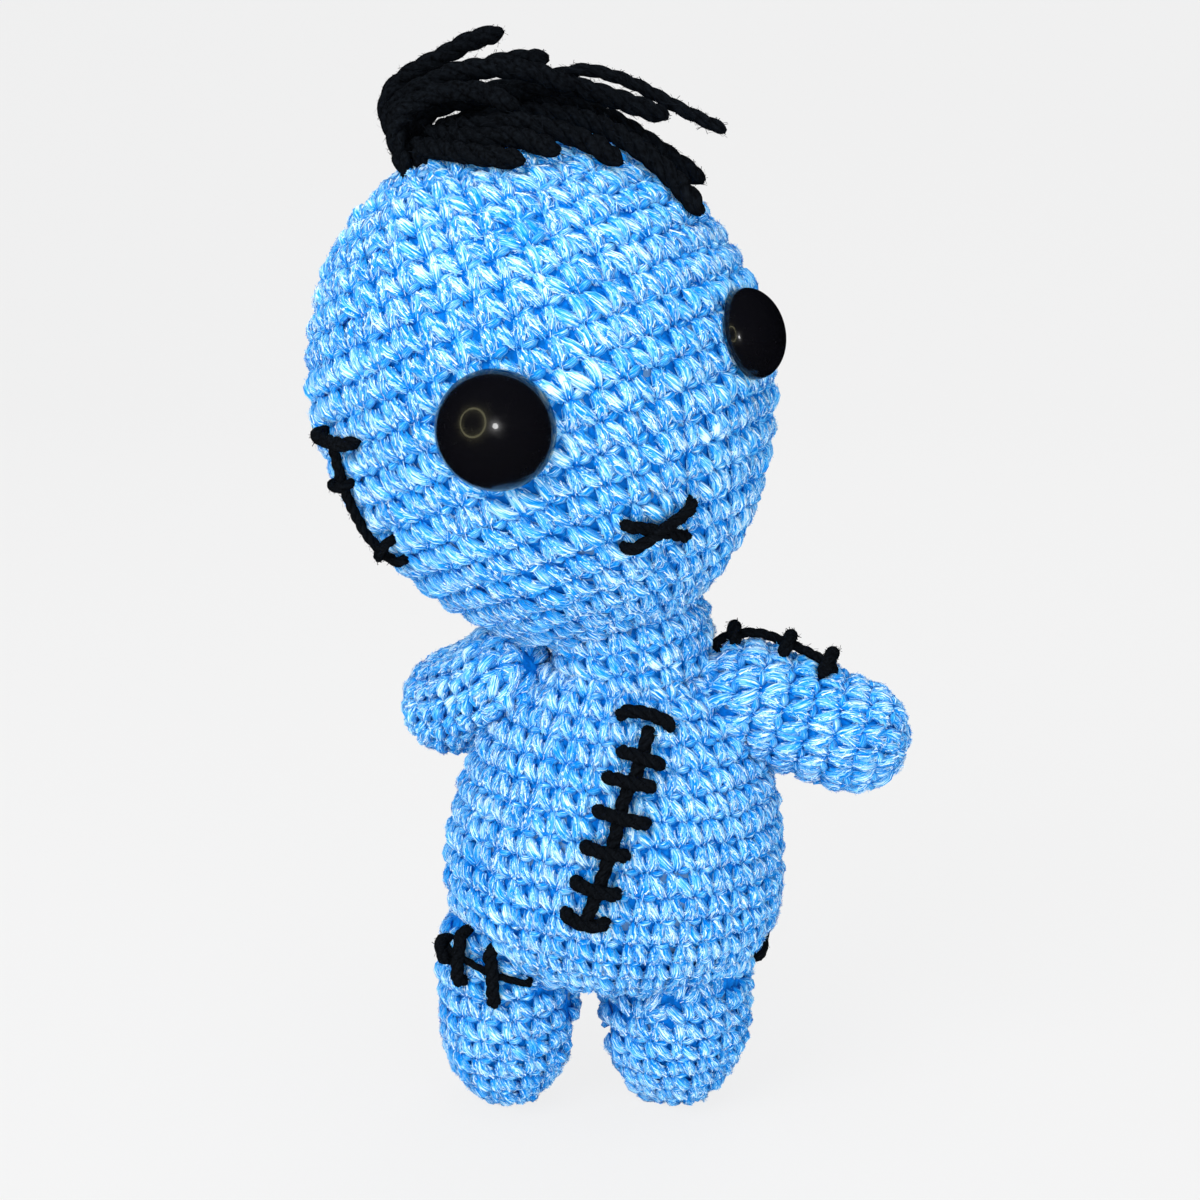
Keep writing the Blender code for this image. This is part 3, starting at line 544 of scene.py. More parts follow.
def streaks(tree, across, along, detail):
    """Noise that is stretched along a strand, from the strand's own two coordinates."""
    shares = {"X": ("round", across), "Y": ("run", along), "Z": ("shade", STREAKS_APART)}
    parts = {key: maths(tree, "MULTIPLY", attribute(tree, name), share) for key, (name, share) in shares.items()}
    place = out(tree, "ShaderNodeCombineXYZ", parts)
    return add(tree, "ShaderNodeTexNoise", {"Vector": place, "Scale": 1.0, "Detail": detail}).outputs["Fac"]


def crochet_material():
    material, tree, shader = new_material("crochet_yarn", 0.95, sheen=0.08, sheen_tint=SHEEN_TINT, specular=0.05)
    patches = clouds(tree, 95.0, 2.0)
    fine = streaks(tree, STREAKS_ROUND, STREAKS_ALONG, 3.0)
    # Painted light from the height above the holes: shade low down, a highlight on top
    lift = maths(tree, "MULTIPLY_ADD", attribute(tree, "depth"), DEPTH_SHARE, DARKEST)
    parts = ((fine, FINE_SHARE), (patches, PATCH_SHARE), (attribute(tree, "shade"), SHADE_SHARE))
    for value, share in parts:
        lift = maths(tree, "ADD", lift, maths(tree, "MULTIPLY_ADD", value, share, -share / 2))
    # From painted shade in the holes, through the blues of the yarn, to a painted highlight on top
    stops = ((0.10, PAINTED_SHADE_BLUE), (0.40, MID_BLUE), (0.66, LIGHT_BLUE), (0.92, PAINTED_HIGHLIGHT_BLUE))
    tree.links.new(ramp(tree, lift, stops), shader.inputs["Base Color"])
    bumped(tree, shader, fine, 0.6, 0.35 * MM)
    return material


def fibre_material(name, stops, sheen, by_depth=0.0):
    """Fibres differ at random, and are darker in the holes as painted shade and paler on top as painted highlight."""
    material, tree, shader = new_material(name, 0.9, sheen=sheen, sheen_tint=FIBRE_TINT, specular=0.05)
    shade = maths(tree, "MULTIPLY_ADD", attribute(tree, "depth"), by_depth, attribute(tree, "shade"))
    tree.links.new(ramp(tree, maths(tree, "SUBTRACT", shade, by_depth * 0.8), stops), shader.inputs["Base Color"])
    return material


def skin_material():
    """The back of the stitches and a little filling behind, seen down the holes, darkened as painted shade."""
    material, tree, shader = new_material("crochet_inside", 0.95, specular=0.1)
    fine, flecks = clouds(tree, 900.0, 4.0), clouds(tree, 260.0, 1.0)
    # Painted shade, from the darkest blue down the holes to the yarn's middle blue
    base = ramp(tree, fine, ((0.35, HOLE_SHADE_BLUE), (0.55, PAINTED_SHADE_BLUE), (0.75, MID_BLUE)))
    grey = maths(tree, "GREATER_THAN", flecks, 0.66)
    tree.links.new(mixed(tree, grey, base, SHADED_FILLING_GREY), shader.inputs["Base Color"])
    bumped(tree, shader, fine, 0.8, 0.5 * MM)
    return material


YARN_BLUE = crochet_material()
# From painted shade to a painted highlight, with each fibre's own tone at random between
FIBRE_STOPS = ((0.0, PAINTED_SHADE_BLUE), (0.3, MID_BLUE), (0.55, LIGHT_BLUE), (0.95, PAINTED_HIGHLIGHT_BLUE))
FIBRE_BLUE = fibre_material("crochet_fibres", FIBRE_STOPS, 0.10, 0.6)
SKIN_BLUE = skin_material()
print("materials", [material.name for material in (YARN_BLUE, FIBRE_BLUE, SKIN_BLUE)])

# %% [markdown]
# ## One stitch
#
# A single crochet stitch shows as two plump strands that leave one hole together and part as they rise, like a V that
# leans a little to the left. Each strand is a short curve that arches outwards between two dips, thick in
# its middle and thin at both ends. Two smaller strands lie lower, at the foot of the V and beside it, where the next
# stitch shows through. Real loops would need far more faces and would look the same from outside. The stitch is
# drawn in a square of one by one and then scaled to its place.

# %% The strands of a stitch
# Each strand: start, middle and end as shares of the stitch's width, row and thickness, and its half thickness
STRAND_SHARES = (
    ((0.07, -0.46, -0.14), (0.34, 0.08, 0.56), (0.10, 0.60, -0.04), 0.245),
    ((0.01, -0.42, -0.14), (-0.34, -0.08, 0.60), (-0.58, 0.50, -0.02), 0.245),
    ((0.12, -0.40, -0.06), (0.44, -0.50, 0.38), (0.72, -0.26, -0.02), 0.170),
    ((0.50, -0.38, -0.12), (0.56, 0.10, 0.32), (0.34, 0.50, -0.10), 0.225),
)
STRAND_RINGS, STRAND_SIDES = 5, 6
HOLE_BOTTOM, STRAND_TOP = -0.15, 0.50
THIN_END, SWELL_POWER = 0.14, 0.55


def stored(tree, geometry, name, value, kind="FLOAT", domain="POINT"):
    """Keep a value as a named attribute."""
    sockets = {"Geometry": geometry, "Name": name, "Value": value}
    return out(tree, "GeometryNodeStoreNamedAttribute", sockets, data_type=kind, domain=domain)


def named(tree, name):
    """A vector that was kept as a named attribute."""
    return add(tree, "GeometryNodeInputNamedAttribute", {"Name": name}, data_type="FLOAT_VECTOR").outputs["Attribute"]


def joined_geometry(tree, parts):
    made = add(tree, "GeometryNodeJoinGeometry")
    for part in reversed(parts):
        tree.links.new(part, made.inputs[0])
    return made.outputs[0]


def tube(tree, curve, sides, thick):
    """A tube along the curve, which knows the coordinate round itself."""
    ring = out(tree, "GeometryNodeCurvePrimitiveCircle", {"Resolution": sides, "Radius": 1.0})
    ring = stored(tree, ring, "round", add(tree, "GeometryNodeSplineParameter").outputs["Factor"])
    sockets = {"Curve": curve, "Profile Curve": ring, "Scale": thick, "Fill Caps": True}
    return out(tree, "GeometryNodeCurveToMesh", sockets)


def strand(tree, start, middle, end, radius, fewer=0):
    """One arched strand, thick in its middle, that knows its own coordinates, depth and direction."""
    sockets = {"Resolution": STRAND_RINGS - fewer, "Start": start, "Middle": middle, "End": end}
    arch = out(tree, "GeometryNodeCurveQuadraticBezier", sockets)
    along = add(tree, "GeometryNodeSplineParameter").outputs["Factor"]
    swell = maths(tree, "SINE", maths(tree, "MULTIPLY", along, math.pi))
    swell = maths(tree, "POWER", maths(tree, "MAXIMUM", swell, 0.0), SWELL_POWER)
    thick = maths(tree, "MULTIPLY_ADD", swell, radius * (1 - THIN_END), radius * THIN_END)
    arch = stored(tree, arch, "run", along)
    arch = stored(tree, arch, "flow", out(tree, "GeometryNodeInputTangent"), "FLOAT_VECTOR")
    made = tube(tree, arch, STRAND_SIDES - fewer, thick)
    # Its height above the holes, from which the materials paint shade low down and a highlight on top
    sockets = {"Value": position_z(tree), "From Min": HOLE_BOTTOM, "From Max": STRAND_TOP}
    return stored(tree, made, "depth", out(tree, "ShaderNodeMapRange", sockets))


print("strands in a stitch", len(STRAND_SHARES))

# %% The tree that sets a stitch on every point
THICK, SINK, SOLE = 4.3 * MM, 2.2 * MM, 0.8 * MM
LOOSE, LEAST_SIZE, MOST_SIZE = 0.2, (0.93, 0.93, 0.88), (1.07, 1.08, 1.15)
FIRST_SEED = 11


def facing(tree, axes, first, second, low, high, seed):
    """A rotation that lays two axes along two directions, with a random turn between two limits added."""
    sockets = {"Primary Axis": first, "Secondary Axis": second}
    made = out(tree, "FunctionNodeAxesToRotation", sockets, primary_axis=axes[0], secondary_axis=axes[1])
    turn = random_value(tree, "FLOAT_VECTOR", low, high, seed)
    turn = out(tree, "FunctionNodeEulerToRotation", {0: turn})
    return out(tree, "FunctionNodeRotateRotation", {0: made, 1: turn}, rotation_space="LOCAL")


def on_stitches(tree, given, instance, size, **sockets):
    """The instance on each stitch's point, turned as the stitch lies and a little at random."""
    directions = named(tree, "outward"), named(tree, "along")
    rotation = facing(tree, "ZX", *directions, (-LOOSE,) * 3, (LOOSE,) * 3, given["Seed"])
    sockets.update({"Points": given["Geometry"], "Instance": instance, "Rotation": rotation, "Scale": size})
    return out(tree, "GeometryNodeInstanceOnPoints", sockets)


def finished(tree, geometry, finish):
    """Make instances real, smooth them and give them their material."""
    for kind in ("GeometryNodeRealizeInstances", "GeometryNodeSetShadeSmooth"):
        geometry = out(tree, kind, {0: geometry})
    return out(tree, "GeometryNodeSetMaterial", {"Geometry": geometry, "Material": finish})


def crochet_tree():
    tree, given = new_tree("crochet", Seed=FIRST_SEED, Finish=YARN_BLUE)
    strands = [strand(tree, *shares) for shares in STRAND_SHARES[:2]]
    strands += [strand(tree, *shares, fewer=1) for shares in STRAND_SHARES[2:]]
    varied = random_value(tree, "FLOAT_VECTOR", LEAST_SIZE, MOST_SIZE, given["Seed"])
    sockets = {0: named(tree, "size"), 1: varied}
    size = out(tree, "ShaderNodeVectorMath", sockets, operation="MULTIPLY")
    placed = on_stitches(tree, given, joined_geometry(tree, strands), size)
    shade = random_value(tree, "FLOAT", 0.0, 1.0, given["Seed"])
    placed = stored(tree, placed, "shade", shade, domain="INSTANCE")
    add(tree, "NodeGroupOutput", {0: finished(tree, placed, given["Finish"])})
    return tree


def guide_of(part, stitches):
    """A mesh of loose points, one for each stitch, with its directions and its size."""
    sole = SOLE if part == "body" else 0.0
    points = [place - outward * (SINK - sole * max(-outward.z, 0.0)) for place, outward, _, _ in stitches]
    made = new_solid(part + "_guide", points, [])
    values = {
        "outward": [outward for _, outward, _, _ in stitches],
        "along": [along for _, _, along, _ in stitches],
        "size": [(width, row, THICK) for _, _, _, (width, row) in stitches],
    }
    for key, vectors in values.items():
        kept = made.data.attributes.new(key, "FLOAT_VECTOR", "POINT")
        kept.data.foreach_set("vector", [number for vector in vectors for number in vector])
    return made


CROCHET = crochet_tree()
GUIDES = {part: guide_of(part, stitches) for part, stitches in LAID.items()}
CLOTH = {
    part: dressed(guide, CROCHET, part + "_crochet", Seed=FIRST_SEED + i, Finish=YARN_BLUE)
    for i, (part, guide) in enumerate(GUIDES.items())
}
print("faces of crochet", {part: len(cloth.data.polygons) for part, cloth in CLOTH.items()})

# %% [markdown]
# ## Fibres
#
# What makes the yarn look like yarn is its fibres. Most lie along the strand as thin pale lines. Their colour
# differs at random, and is paler on top of the strands, as a painted highlight where the light catches them, and
# darker down in the holes, as painted shade. A few stray ones stand off the strand and blur the outline. Hair
# particles could draw them, but they are no mesh, so each fibre is a narrow strip of one face. The strips are set on
# the strands of a stitch where the strand's own direction is still known, in four different scatterings, and each
# stitch then takes one of the four at random.

# %% The tree that scatters fibres
FIBRE_WIDTH, FIBRE_LOW, SCATTERINGS = 0.029, 0.04, 4
# Each kind of strip: width share, length, count for each area, spin and lift in radians
LYING = ((1.0, 0.32, 72.0, 0.40, 0.16),)
FUZZY = ((0.8, 0.32, 58.0, 1.0, 0.36), (0.6, 0.40, 9.0, 1.3, 0.60))


def ribbon(tree, width, length):
    """A narrow flat strip along Y, of one face."""
    sockets = {"Size X": width, "Size Y": length, "Vertices X": 2, "Vertices Y": 2}
    return add(tree, "GeometryNodeMeshGrid", sockets).outputs["Mesh"]


def scattered(tree, surface, strip, count, spin, lift, low, high, seed, above=0.018):
    """Strips a little above the surface, along its flow."""
    points = add(tree, "GeometryNodeDistributePointsOnFaces", {"Mesh": surface, "Density": count, "Seed": seed})
    normal = points.outputs["Normal"]
    limit = (lift, lift * 0.5, spin)
    rotation = facing(tree, "ZY", normal, named(tree, "flow"), [-value for value in limit], limit, seed + 1)
    size = random_value(tree, "FLOAT_VECTOR", (0.7, low, 0.8), (1.3, high, 1.2), seed + 2)
    sockets = {"Geometry": points.outputs["Points"], "Offset": scaled(tree, normal, above)}
    raised = out(tree, "GeometryNodeSetPosition", sockets)
    sockets = {"Points": raised, "Instance": strip, "Rotation": rotation, "Scale": size}
    placed = out(tree, "GeometryNodeInstanceOnPoints", sockets)
    placed = stored(tree, placed, "shade", random_value(tree, "FLOAT", 0.0, 1.0, seed + 3), domain="INSTANCE")
    return out(tree, "GeometryNodeRealizeInstances", {0: placed})


def fibre_tree(name, kinds_of_strip):
    """A tree that lays strips on each stitch."""
    tree, given = new_tree(name, Width=FIBRE_WIDTH, Seed=FIRST_SEED, Finish=FIBRE_BLUE)
    strips = [
        (ribbon(tree, maths(tree, "MULTIPLY", given["Width"], width), length), *rest)
        for width, length, *rest in kinds_of_strip
    ]
    choices = []
    for variant in range(SCATTERINGS):
        tufts = []
        for k, shares in enumerate(STRAND_SHARES[:2]):
            low = maths(tree, "LESS_THAN", position_z(tree), FIBRE_LOW)
            sockets = {"Geometry": strand(tree, *shares), "Selection": low}
            surface = out(tree, "GeometryNodeDeleteGeometry", sockets)
            for n, (strip, count, spin, lift) in enumerate(strips):
                seed = 100 * variant + 10 * k + 5 * n
                tufts.append(scattered(tree, surface, strip, count, spin, lift, low=0.6, high=1.25, seed=seed))
        choices.append(out(tree, "GeometryNodeGeometryToInstance", {0: joined_geometry(tree, tufts)}))
    pick = {"Pick Instance": True, "Instance Index": random_value(tree, "INT", 0, SCATTERINGS - 1, given["Seed"])}
    placed = on_stitches(tree, given, joined_geometry(tree, choices), named(tree, "size"), **pick)
    add(tree, "NodeGroupOutput", {0: finished(tree, placed, given["Finish"])})
    return tree


FIBRES = {"fibres": fibre_tree("fibres", LYING), "fuzz": fibre_tree("fuzz", FUZZY)}
FUZZ = {
    part: [
        dressed(guide, tree, part + "_" + word, Seed=FIRST_SEED + i, Finish=FIBRE_BLUE)
        for word, tree in FIBRES.items()
    ]
    for i, (part, guide) in enumerate(GUIDES.items())
}
# The doll's own weight flattens the stitches of its soles on the floor
for layer in (CLOTH["body"], *FUZZ["body"]):
    for vertex in layer.data.vertices:
        vertex.co.z = max(vertex.co.z, 0.0)
print("faces of fibres", {part: [len(layer.data.polygons) for layer in layers] for part, layers in FUZZ.items()})

# %% [markdown]
# ## The skin behind the stitches
#
# Down the holes one sees the back of the fabric and some filling. A simulated cloth could stand for it, but the doll
# is stuffed so hard that its fabric has no folds. The turned skins, drawn in by the thickness of the stitches, are
# enough. They are stuffed pads.

# %% Draw the skins in
SKIN_DEPTH = 1.9 * MM

for skin in SKINS.values():
    normals = [vertex.normal.copy() for vertex in skin.data.vertices]
    for vertex, normal in zip(skin.data.vertices, normals):
        vertex.co -= normal * SKIN_DEPTH
    skin.data.update()
    skin.data.materials.append(SKIN_BLUE)
for item in (*FORMS.values(), *GUIDES.values()):
    bpy.data.objects.remove(item)
print("skins", [skin.name for skin in SKINS.values()])

# %% [markdown]
# ## Black yarn
#
# The hair, the scars and the mouth are plied yarn: three strands twisted round each other, with short fibres
# standing off. A smooth tube with a bump would look flat at its outline, so the plies are real. One tree makes all of
# it. It takes a guide line, rounds it, lays three plies round it in a helix, and thins them at both ends.

# %% The tree that twists a yarn
PLIES, PLY_REACH, PLY_THICK, PLY_SIDES = 3, 0.46, 0.60, 8
END_LENGTH, END_THIN = 1.3, 0.1
HAIRS, HAIR_WIDTH, HAIR_LENGTH, HAIR_LIFT = 1.1e6, 0.09 * MM, 2.0 * MM, 0.03 * MM


def black_material():
    material, tree, shader = new_material("black_yarn", 0.92, specular=0.04)
    fine = streaks(tree, 8.0, 60.0, 2.0)
    tree.links.new(ramp(tree, fine, ((0.3, BLACK), (0.8, BLACK_FIBRE))), shader.inputs["Base Color"])
    bumped(tree, shader, fine, 0.7, 0.25 * MM)
    return material


YARN_BLACK = black_material()
FIBRE_BLACK = fibre_material("black_fibres", ((0.0, BLACK), (1.0, BLACK_FIBRE)), 0.0)


def yarn_tree():
    inputs = {"Radius": 1.0 * MM, "Twist": 7.0 * MM, "Step": 0.55 * MM, "Hairs": 1.0}
    tree, given = new_tree("yarn", **inputs, Finish=YARN_BLACK, Fuzz=FIBRE_BLACK)
    line = out(tree, "GeometryNodeMeshToCurve", {0: given["Geometry"]})
    line = out(tree, "GeometryNodeCurveSplineType", {0: line}, spline_type="CATMULL_ROM")
    line = out(tree, "GeometryNodeResampleCurve", {"Curve": line, "Length": given["Step"]}, mode="LENGTH")
    parameter = add(tree, "GeometryNodeSplineParameter").outputs
    normal = out(tree, "GeometryNodeInputNormal")
    tangent = out(tree, "GeometryNodeInputTangent")
    side = out(tree, "ShaderNodeVectorMath", {0: tangent, 1: normal}, operation="CROSS_PRODUCT")
    left = maths(tree, "SUBTRACT", add(tree, "GeometryNodeSplineLength").outputs["Length"], parameter["Length"])
    near = maths(tree, "MINIMUM", left, parameter["Length"])
    near = maths(tree, "DIVIDE", near, maths(tree, "MULTIPLY", given["Radius"], END_LENGTH))
    round_end = maths(tree, "MINIMUM", maths(tree, "MULTIPLY_ADD", near, 1 - END_THIN, END_THIN), 1.0)
    radius = maths(tree, "MULTIPLY", given["Radius"], maths(tree, "POWER", round_end, 0.5))
    reach = maths(tree, "MULTIPLY", radius, PLY_REACH)
    turns = maths(tree, "DIVIDE", parameter["Length"], given["Twist"])
    made = []
    for ply in range(PLIES):
        turn = maths(tree, "MULTIPLY_ADD", turns, 2 * math.pi, 2 * math.pi * ply / PLIES)
        one = scaled(tree, normal, maths(tree, "MULTIPLY", maths(tree, "COSINE", turn), reach))
        two = scaled(tree, side, maths(tree, "MULTIPLY", maths(tree, "SINE", turn), reach))
        offset = out(tree, "ShaderNodeVectorMath", {0: one, 1: two}, operation="ADD")
        path = out(tree, "GeometryNodeSetPosition", {"Geometry": line, "Offset": offset})
        path = stored(tree, path, "run", parameter["Factor"])
        path = stored(tree, path, "flow", tangent, "FLOAT_VECTOR")
        made.append(tube(tree, path, PLY_SIDES, maths(tree, "MULTIPLY", radius, PLY_THICK)))
    core = finished(tree, joined_geometry(tree, made), given["Finish"])
    hairs = maths(tree, "MULTIPLY", given["Hairs"], HAIRS)
    hair = ribbon(tree, HAIR_WIDTH, HAIR_LENGTH)
    fuzz = scattered(tree, core, hair, hairs, spin=0.9, lift=0.7, low=0.5, high=1.2, seed=3, above=HAIR_LIFT)
    fuzz = out(tree, "GeometryNodeSetMaterial", {"Geometry": fuzz, "Material": given["Fuzz"]})
    add(tree, "NodeGroupOutput", {0: joined_geometry(tree, [core, fuzz])})
    return tree


YARN = yarn_tree()


def yarn_piece(name, points, radius, twist, hairs=1.0):
    """One piece of black yarn along the points."""
    guide = new_solid(name + "_guide", points, [], [(i, i + 1) for i in range(len(points) - 1)])
    inputs = {"Radius": radius, "Twist": twist, "Hairs": hairs, "Finish": YARN_BLACK, "Fuzz": FIBRE_BLACK}
    made = dressed(guide, YARN, name + "_yarn", **inputs)
    bpy.data.objects.remove(guide)
    return made


print("yarn tree nodes", len(YARN.nodes))

# %% [markdown]
# ## Scars and mouth
#
# Each sewn stitch comes out of the fabric, lies on it, and goes back in. Its places are given as they are on the
# solids: a turn about the form's axis, and a height. Fixed points in space would miss the uneven cloth, so a ray
# finds the cloth at each place, and both ends dip under it.

# %% Places of the sewn stitches
COARSE, MIDDLE, THREAD, FINE = 1.20 * MM, 1.05 * MM, 0.90 * MM, 0.65 * MM
MOUTH = {
    "mouth_stitch_low": ((-11.6, -0.540), (9.2, -0.660)),
    "mouth_stitch_high": ((-12.6, -0.622), (10.6, -0.548)),
}
CHEEK_SEAM = ((-80.0, 0.020), (-83.0, -0.085), (-87.0, -0.195), (-90.0, -0.300), (-88.0, -0.385), (-82.0, -0.440))
CHEEK_BARS = (((-86.0, 0.070), (-72.0, -0.005)), ((-90.0, -0.105), (-82.0, -0.130)), ((-91.0, -0.395), (-80.0, -0.355)))
BELLY_SEAM = ((19.5, 0.893), (12.4, 0.805), (8.0, 0.760), (5.2, 0.679), (0.5, 0.582), (-2.5, 0.530))
BELLY_BARS = (
    ((2.5, 0.909), (31.7, 0.893)),
    ((5.5, 0.848), (23.9, 0.829)),
    ((-0.2, 0.801), (20.0, 0.790)),
    ((-2.6, 0.741), (18.0, 0.724)),
    ((-5.7, 0.673), (10.5, 0.663)),
    ((-7.9, 0.604), (8.3, 0.589)),
    ((-10.8, 0.542), (5.0, 0.531)),
)
BELLY_BENDS = {0: 0.012, 6: -0.012}
RIGHT_LEG_SEAM = ((-52.0, 1.70), (-29.0, 1.66), (-9.0, 1.58), (6.0, 1.52), (18.0, 1.47))
RIGHT_LEG_BARS = (((-55.0, 1.76), (-46.0, 1.60)), ((-32.0, 1.93), (-32.0, 1.44)), ((-7.0, 1.85), (-7.0, 1.29)))
LEFT_LEG_SEAM = ((78.0, 1.58), (96.0, 1.60), (116.0, 1.58))
LEFT_LEG_BARS = (((96.0, 1.80), (96.0, 1.38)),)
ARM_SEAM = ((-2.0, -0.80), (-6.0, -0.50), (-8.0, -0.05), (-4.0, 0.45), (6.0, 0.90), (12.0, 1.15))
ARM_BARS = (((-30.0, -0.50), (8.0, -0.52)), ((-30.0, 0.33), (15.0, 0.28)), ((-14.0, 1.06), (22.0, 0.98)))


def smooth_line(stops, count):
    """Values along a rounded line through the stops."""
    stops = [Vector(stop) for stop in stops]
    last, values = len(stops) - 1, []
    for i in range(count):
        position = last * i / (count - 1)
        first = min(int(position), last - 1)
        share = position - first
        before, near, far, after = (stops[min(max(first + k, 0), last)] for k in (-1, 0, 1, 2))
        leaving, arriving = (far - before) / 2, (after - near) / 2
        cubic = 2 * near - 2 * far + leaving + arriving
        square = 3 * far - 3 * near - 2 * leaving - arriving
        values.append(((cubic * share + square) * share + leaving) * share + near)
    return values


print("bars of the belly scar", len(BELLY_BARS))

# %% Sew them on
DIP, DIP_STEPS, SEWN_LIFT, SEWN_TWIST, SEWN_HAIRS = 2.2 * MM, 1.2, 0.75, 6.5 * MM, 0.8
MOUTH_RISE, BENT_RISE, BELLY_BASE = 1.1 * MM, 0.3 * MM, -1.6 * MM


def sewn(name, tree, matrix, reach, base, scale, stops, radius, rise=0.0, bend=0.0, count=13):
    """A sewn stitch on the cloth, with both ends dipped under it."""
    points = []
    for i, (turn, place) in enumerate(smooth_line(stops, count)):
        share = i / (count - 1)
        swell = math.sin(math.pi * share)
        foot = Vector((0.0, 0.0, base + (place + bend * swell) * scale))
        start, target = matrix @ (foot + on_ring(math.radians(turn)) * reach), matrix @ foot
        found, normal, _, _ = tree.ray_cast(start, (target - start).normalized())
        edge = min(share, 1 - share) * (count - 1)
        dip = DIP * max(1.0 - edge / DIP_STEPS, 0.0)
        points.append(found + normal * (radius * SEWN_LIFT + rise * math.sqrt(max(swell, 0.0)) - dip))
    return yarn_piece(name, points, radius, SEWN_TWIST, SEWN_HAIRS)


def scar(name, where, seam, bars, seam_radius, bends=None, thin=()):
    """A seam and the bars across it, one piece for each."""
    made = {name + "_seam": sewn(name + "_seam", *where, seam, seam_radius, count=30)}
    for i, bar in enumerate(bars):
        label = name + "_bar_" + str(i + 1)
        bend = (bends or {}).get(i, 0.0)
        rise = BENT_RISE if bend else 1.2 * seam_radius
        made[label] = sewn(label, *where, bar, THREAD if i in thin else COARSE, rise, bend)
    return made


# The left arm's frame turned over, so that Z points to the hand and the front is the arm's top
along_arm = FRAMES["arm_left"] @ Matrix.Diagonal((1 / ARM_DEPTH, 1.0, 1.0, 1.0)) @ turning("X", 180.0)
on_head = (TREES["head"], HEAD, 2 * HEAD_RADIUS, HEAD_RISE, HEAD_BOTTOM)
on_belly = (TREES["body"], TORSO, 2 * TORSO_HALF, BELLY_BASE, NECK_HEIGHT)
on_arm = (TREES["arm_left"], along_arm, 3 * ARMS["left"][2], 0.0, ARMS["left"][2])
SEWN = {
    "head": {
        name: sewn(name, *on_head, stops, MIDDLE, MOUTH_RISE if name.endswith("high") else 0.0)
        for name, stops in MOUTH.items()
    },
    "body": scar("belly_scar", on_belly, BELLY_SEAM, BELLY_BARS, COARSE, BELLY_BENDS),
    "arm_left": scar("arm_left_scar", on_arm, ARM_SEAM, ARM_BARS, THREAD),
}
SEWN["head"].update(scar("cheek_scar", on_head, CHEEK_SEAM, CHEEK_BARS, THREAD, thin=(1, 2)))
for word, seam, bars in (("right", RIGHT_LEG_SEAM, RIGHT_LEG_BARS), ("left", LEFT_LEG_SEAM, LEFT_LEG_BARS)):
    upright = FRAMES["leg_" + word] @ Matrix.Diagonal((1.0, 1 / LEG_DEPTH, 1.0, 1.0))
    on_leg = (TREES["body"], upright, 3 * LEG_RADIUS, 0.0, FOOT_HEIGHT)
    SEWN["body"].update(scar("leg_" + word + "_scar", on_leg, seam, bars, FINE))
print("sewn pieces", {part: len(pieces) for part, pieces in SEWN.items()})

# %% [markdown]
# ## Hair
#
# Twelve short lengths of thick yarn are knotted into the crown and swept to one side. They could hang by a
# simulation, but yarn this stiff keeps the shape that a hand gave it. So each route is drawn in a frame on the crown,
# as shares of one span: along the sweep, across it, and up.

# %% Routes of the hair
HAIR_SWEEP, HAIR_SPAN, HAIR_RADIUS, HAIR_END = -21.0, 50.0 * MM, 1.75 * MM, 1.4 * MM
# Each strand: its places, in hundredths of the span
HAIR = (
    ((-16, 12, 3), (-20, 13, 10), (-21, 15, 18), (-17, 17, 25), (-8, 19, 29), (3, 21, 31), (14, 22, 33),
     (24, 24, 33)),
    ((-17, 5, 2), (-19, 6, 11), (-15, 8, 19), (-4, 10, 22), (10, 12, 21), (23, 13, 21), (36, 14, 18)),
    ((-14, -3, 0), (-16, -1, 9), (-9, 0, 16), (7, 2, 14), (27, 3, 11), (43, 5, 9), (51, 5, 7), (63, 4, -2),
     (76, 3, -16), (86, 3, -26)),
    ((-12, -10, -2), (-11, -9, 7), (-1, -7, 11), (20, -5, 8), (40, -4, 4), (54, -4, -5), (68, -5, -16)),
    ((-8, 7, 0), (-2, 8, 5), (14, 10, 6), (35, 11, 2), (50, 11, -8), (62, 10, -22), (74, 9, -39)),
    ((-5, -1, -2), (4, -3, 2), (23, -6, -2), (42, -15, -11), (55, -28, -25), (63, -35, -41), (67, -39, -52)),
    ((-2, -14, -5), (7, -29, -3), (22, -35, -7), (35, -38, -16), (42, -42, -22), (47, -45, -29)),
    ((-6, -21, -6), (6, -39, -8), (19, -44, -12), (29, -50, -20)),
    ((-11, -28, -8), (3, -47, -13), (17, -54, -20)),
    ((-11, 14, 2), (3, 16, 6), (25, 18, 5), (44, 19, -3), (56, 18, -13)),
    ((-17, -18, -4), (-15, -19, 11), (5, -18, 18), (27, -19, 12), (41, -18, 2)),
    ((-18, -26, -6), (-17, -27, 7), (-4, -28, 12), (12, -29, 8), (21, -31, 0)),
)
WISPS = {2: 0.66}
HAIR_TWIST, HAIR_ROOT = 11.0 * MM, 0.94


def clear_of_head(point, reach):
    """Push a point of the head's own frame out to the reach from the head's surface."""
    for _ in range(6):
        low = point - Vector((0.0, 0.0, HEAD_RISE))
        half = HEAD_TOP if low.z > 0 else HEAD_BOTTOM
        sides = Vector((low.x / HEAD_RADIUS**2, low.y / HEAD_RADIUS**2, low.z / half**2))
        level = math.sqrt(low.dot(sides))
        distance = (level - 1.0) * level / sides.length
        if distance >= reach:
            break
        point = point + sides.normalized() * (reach - distance)
    return point


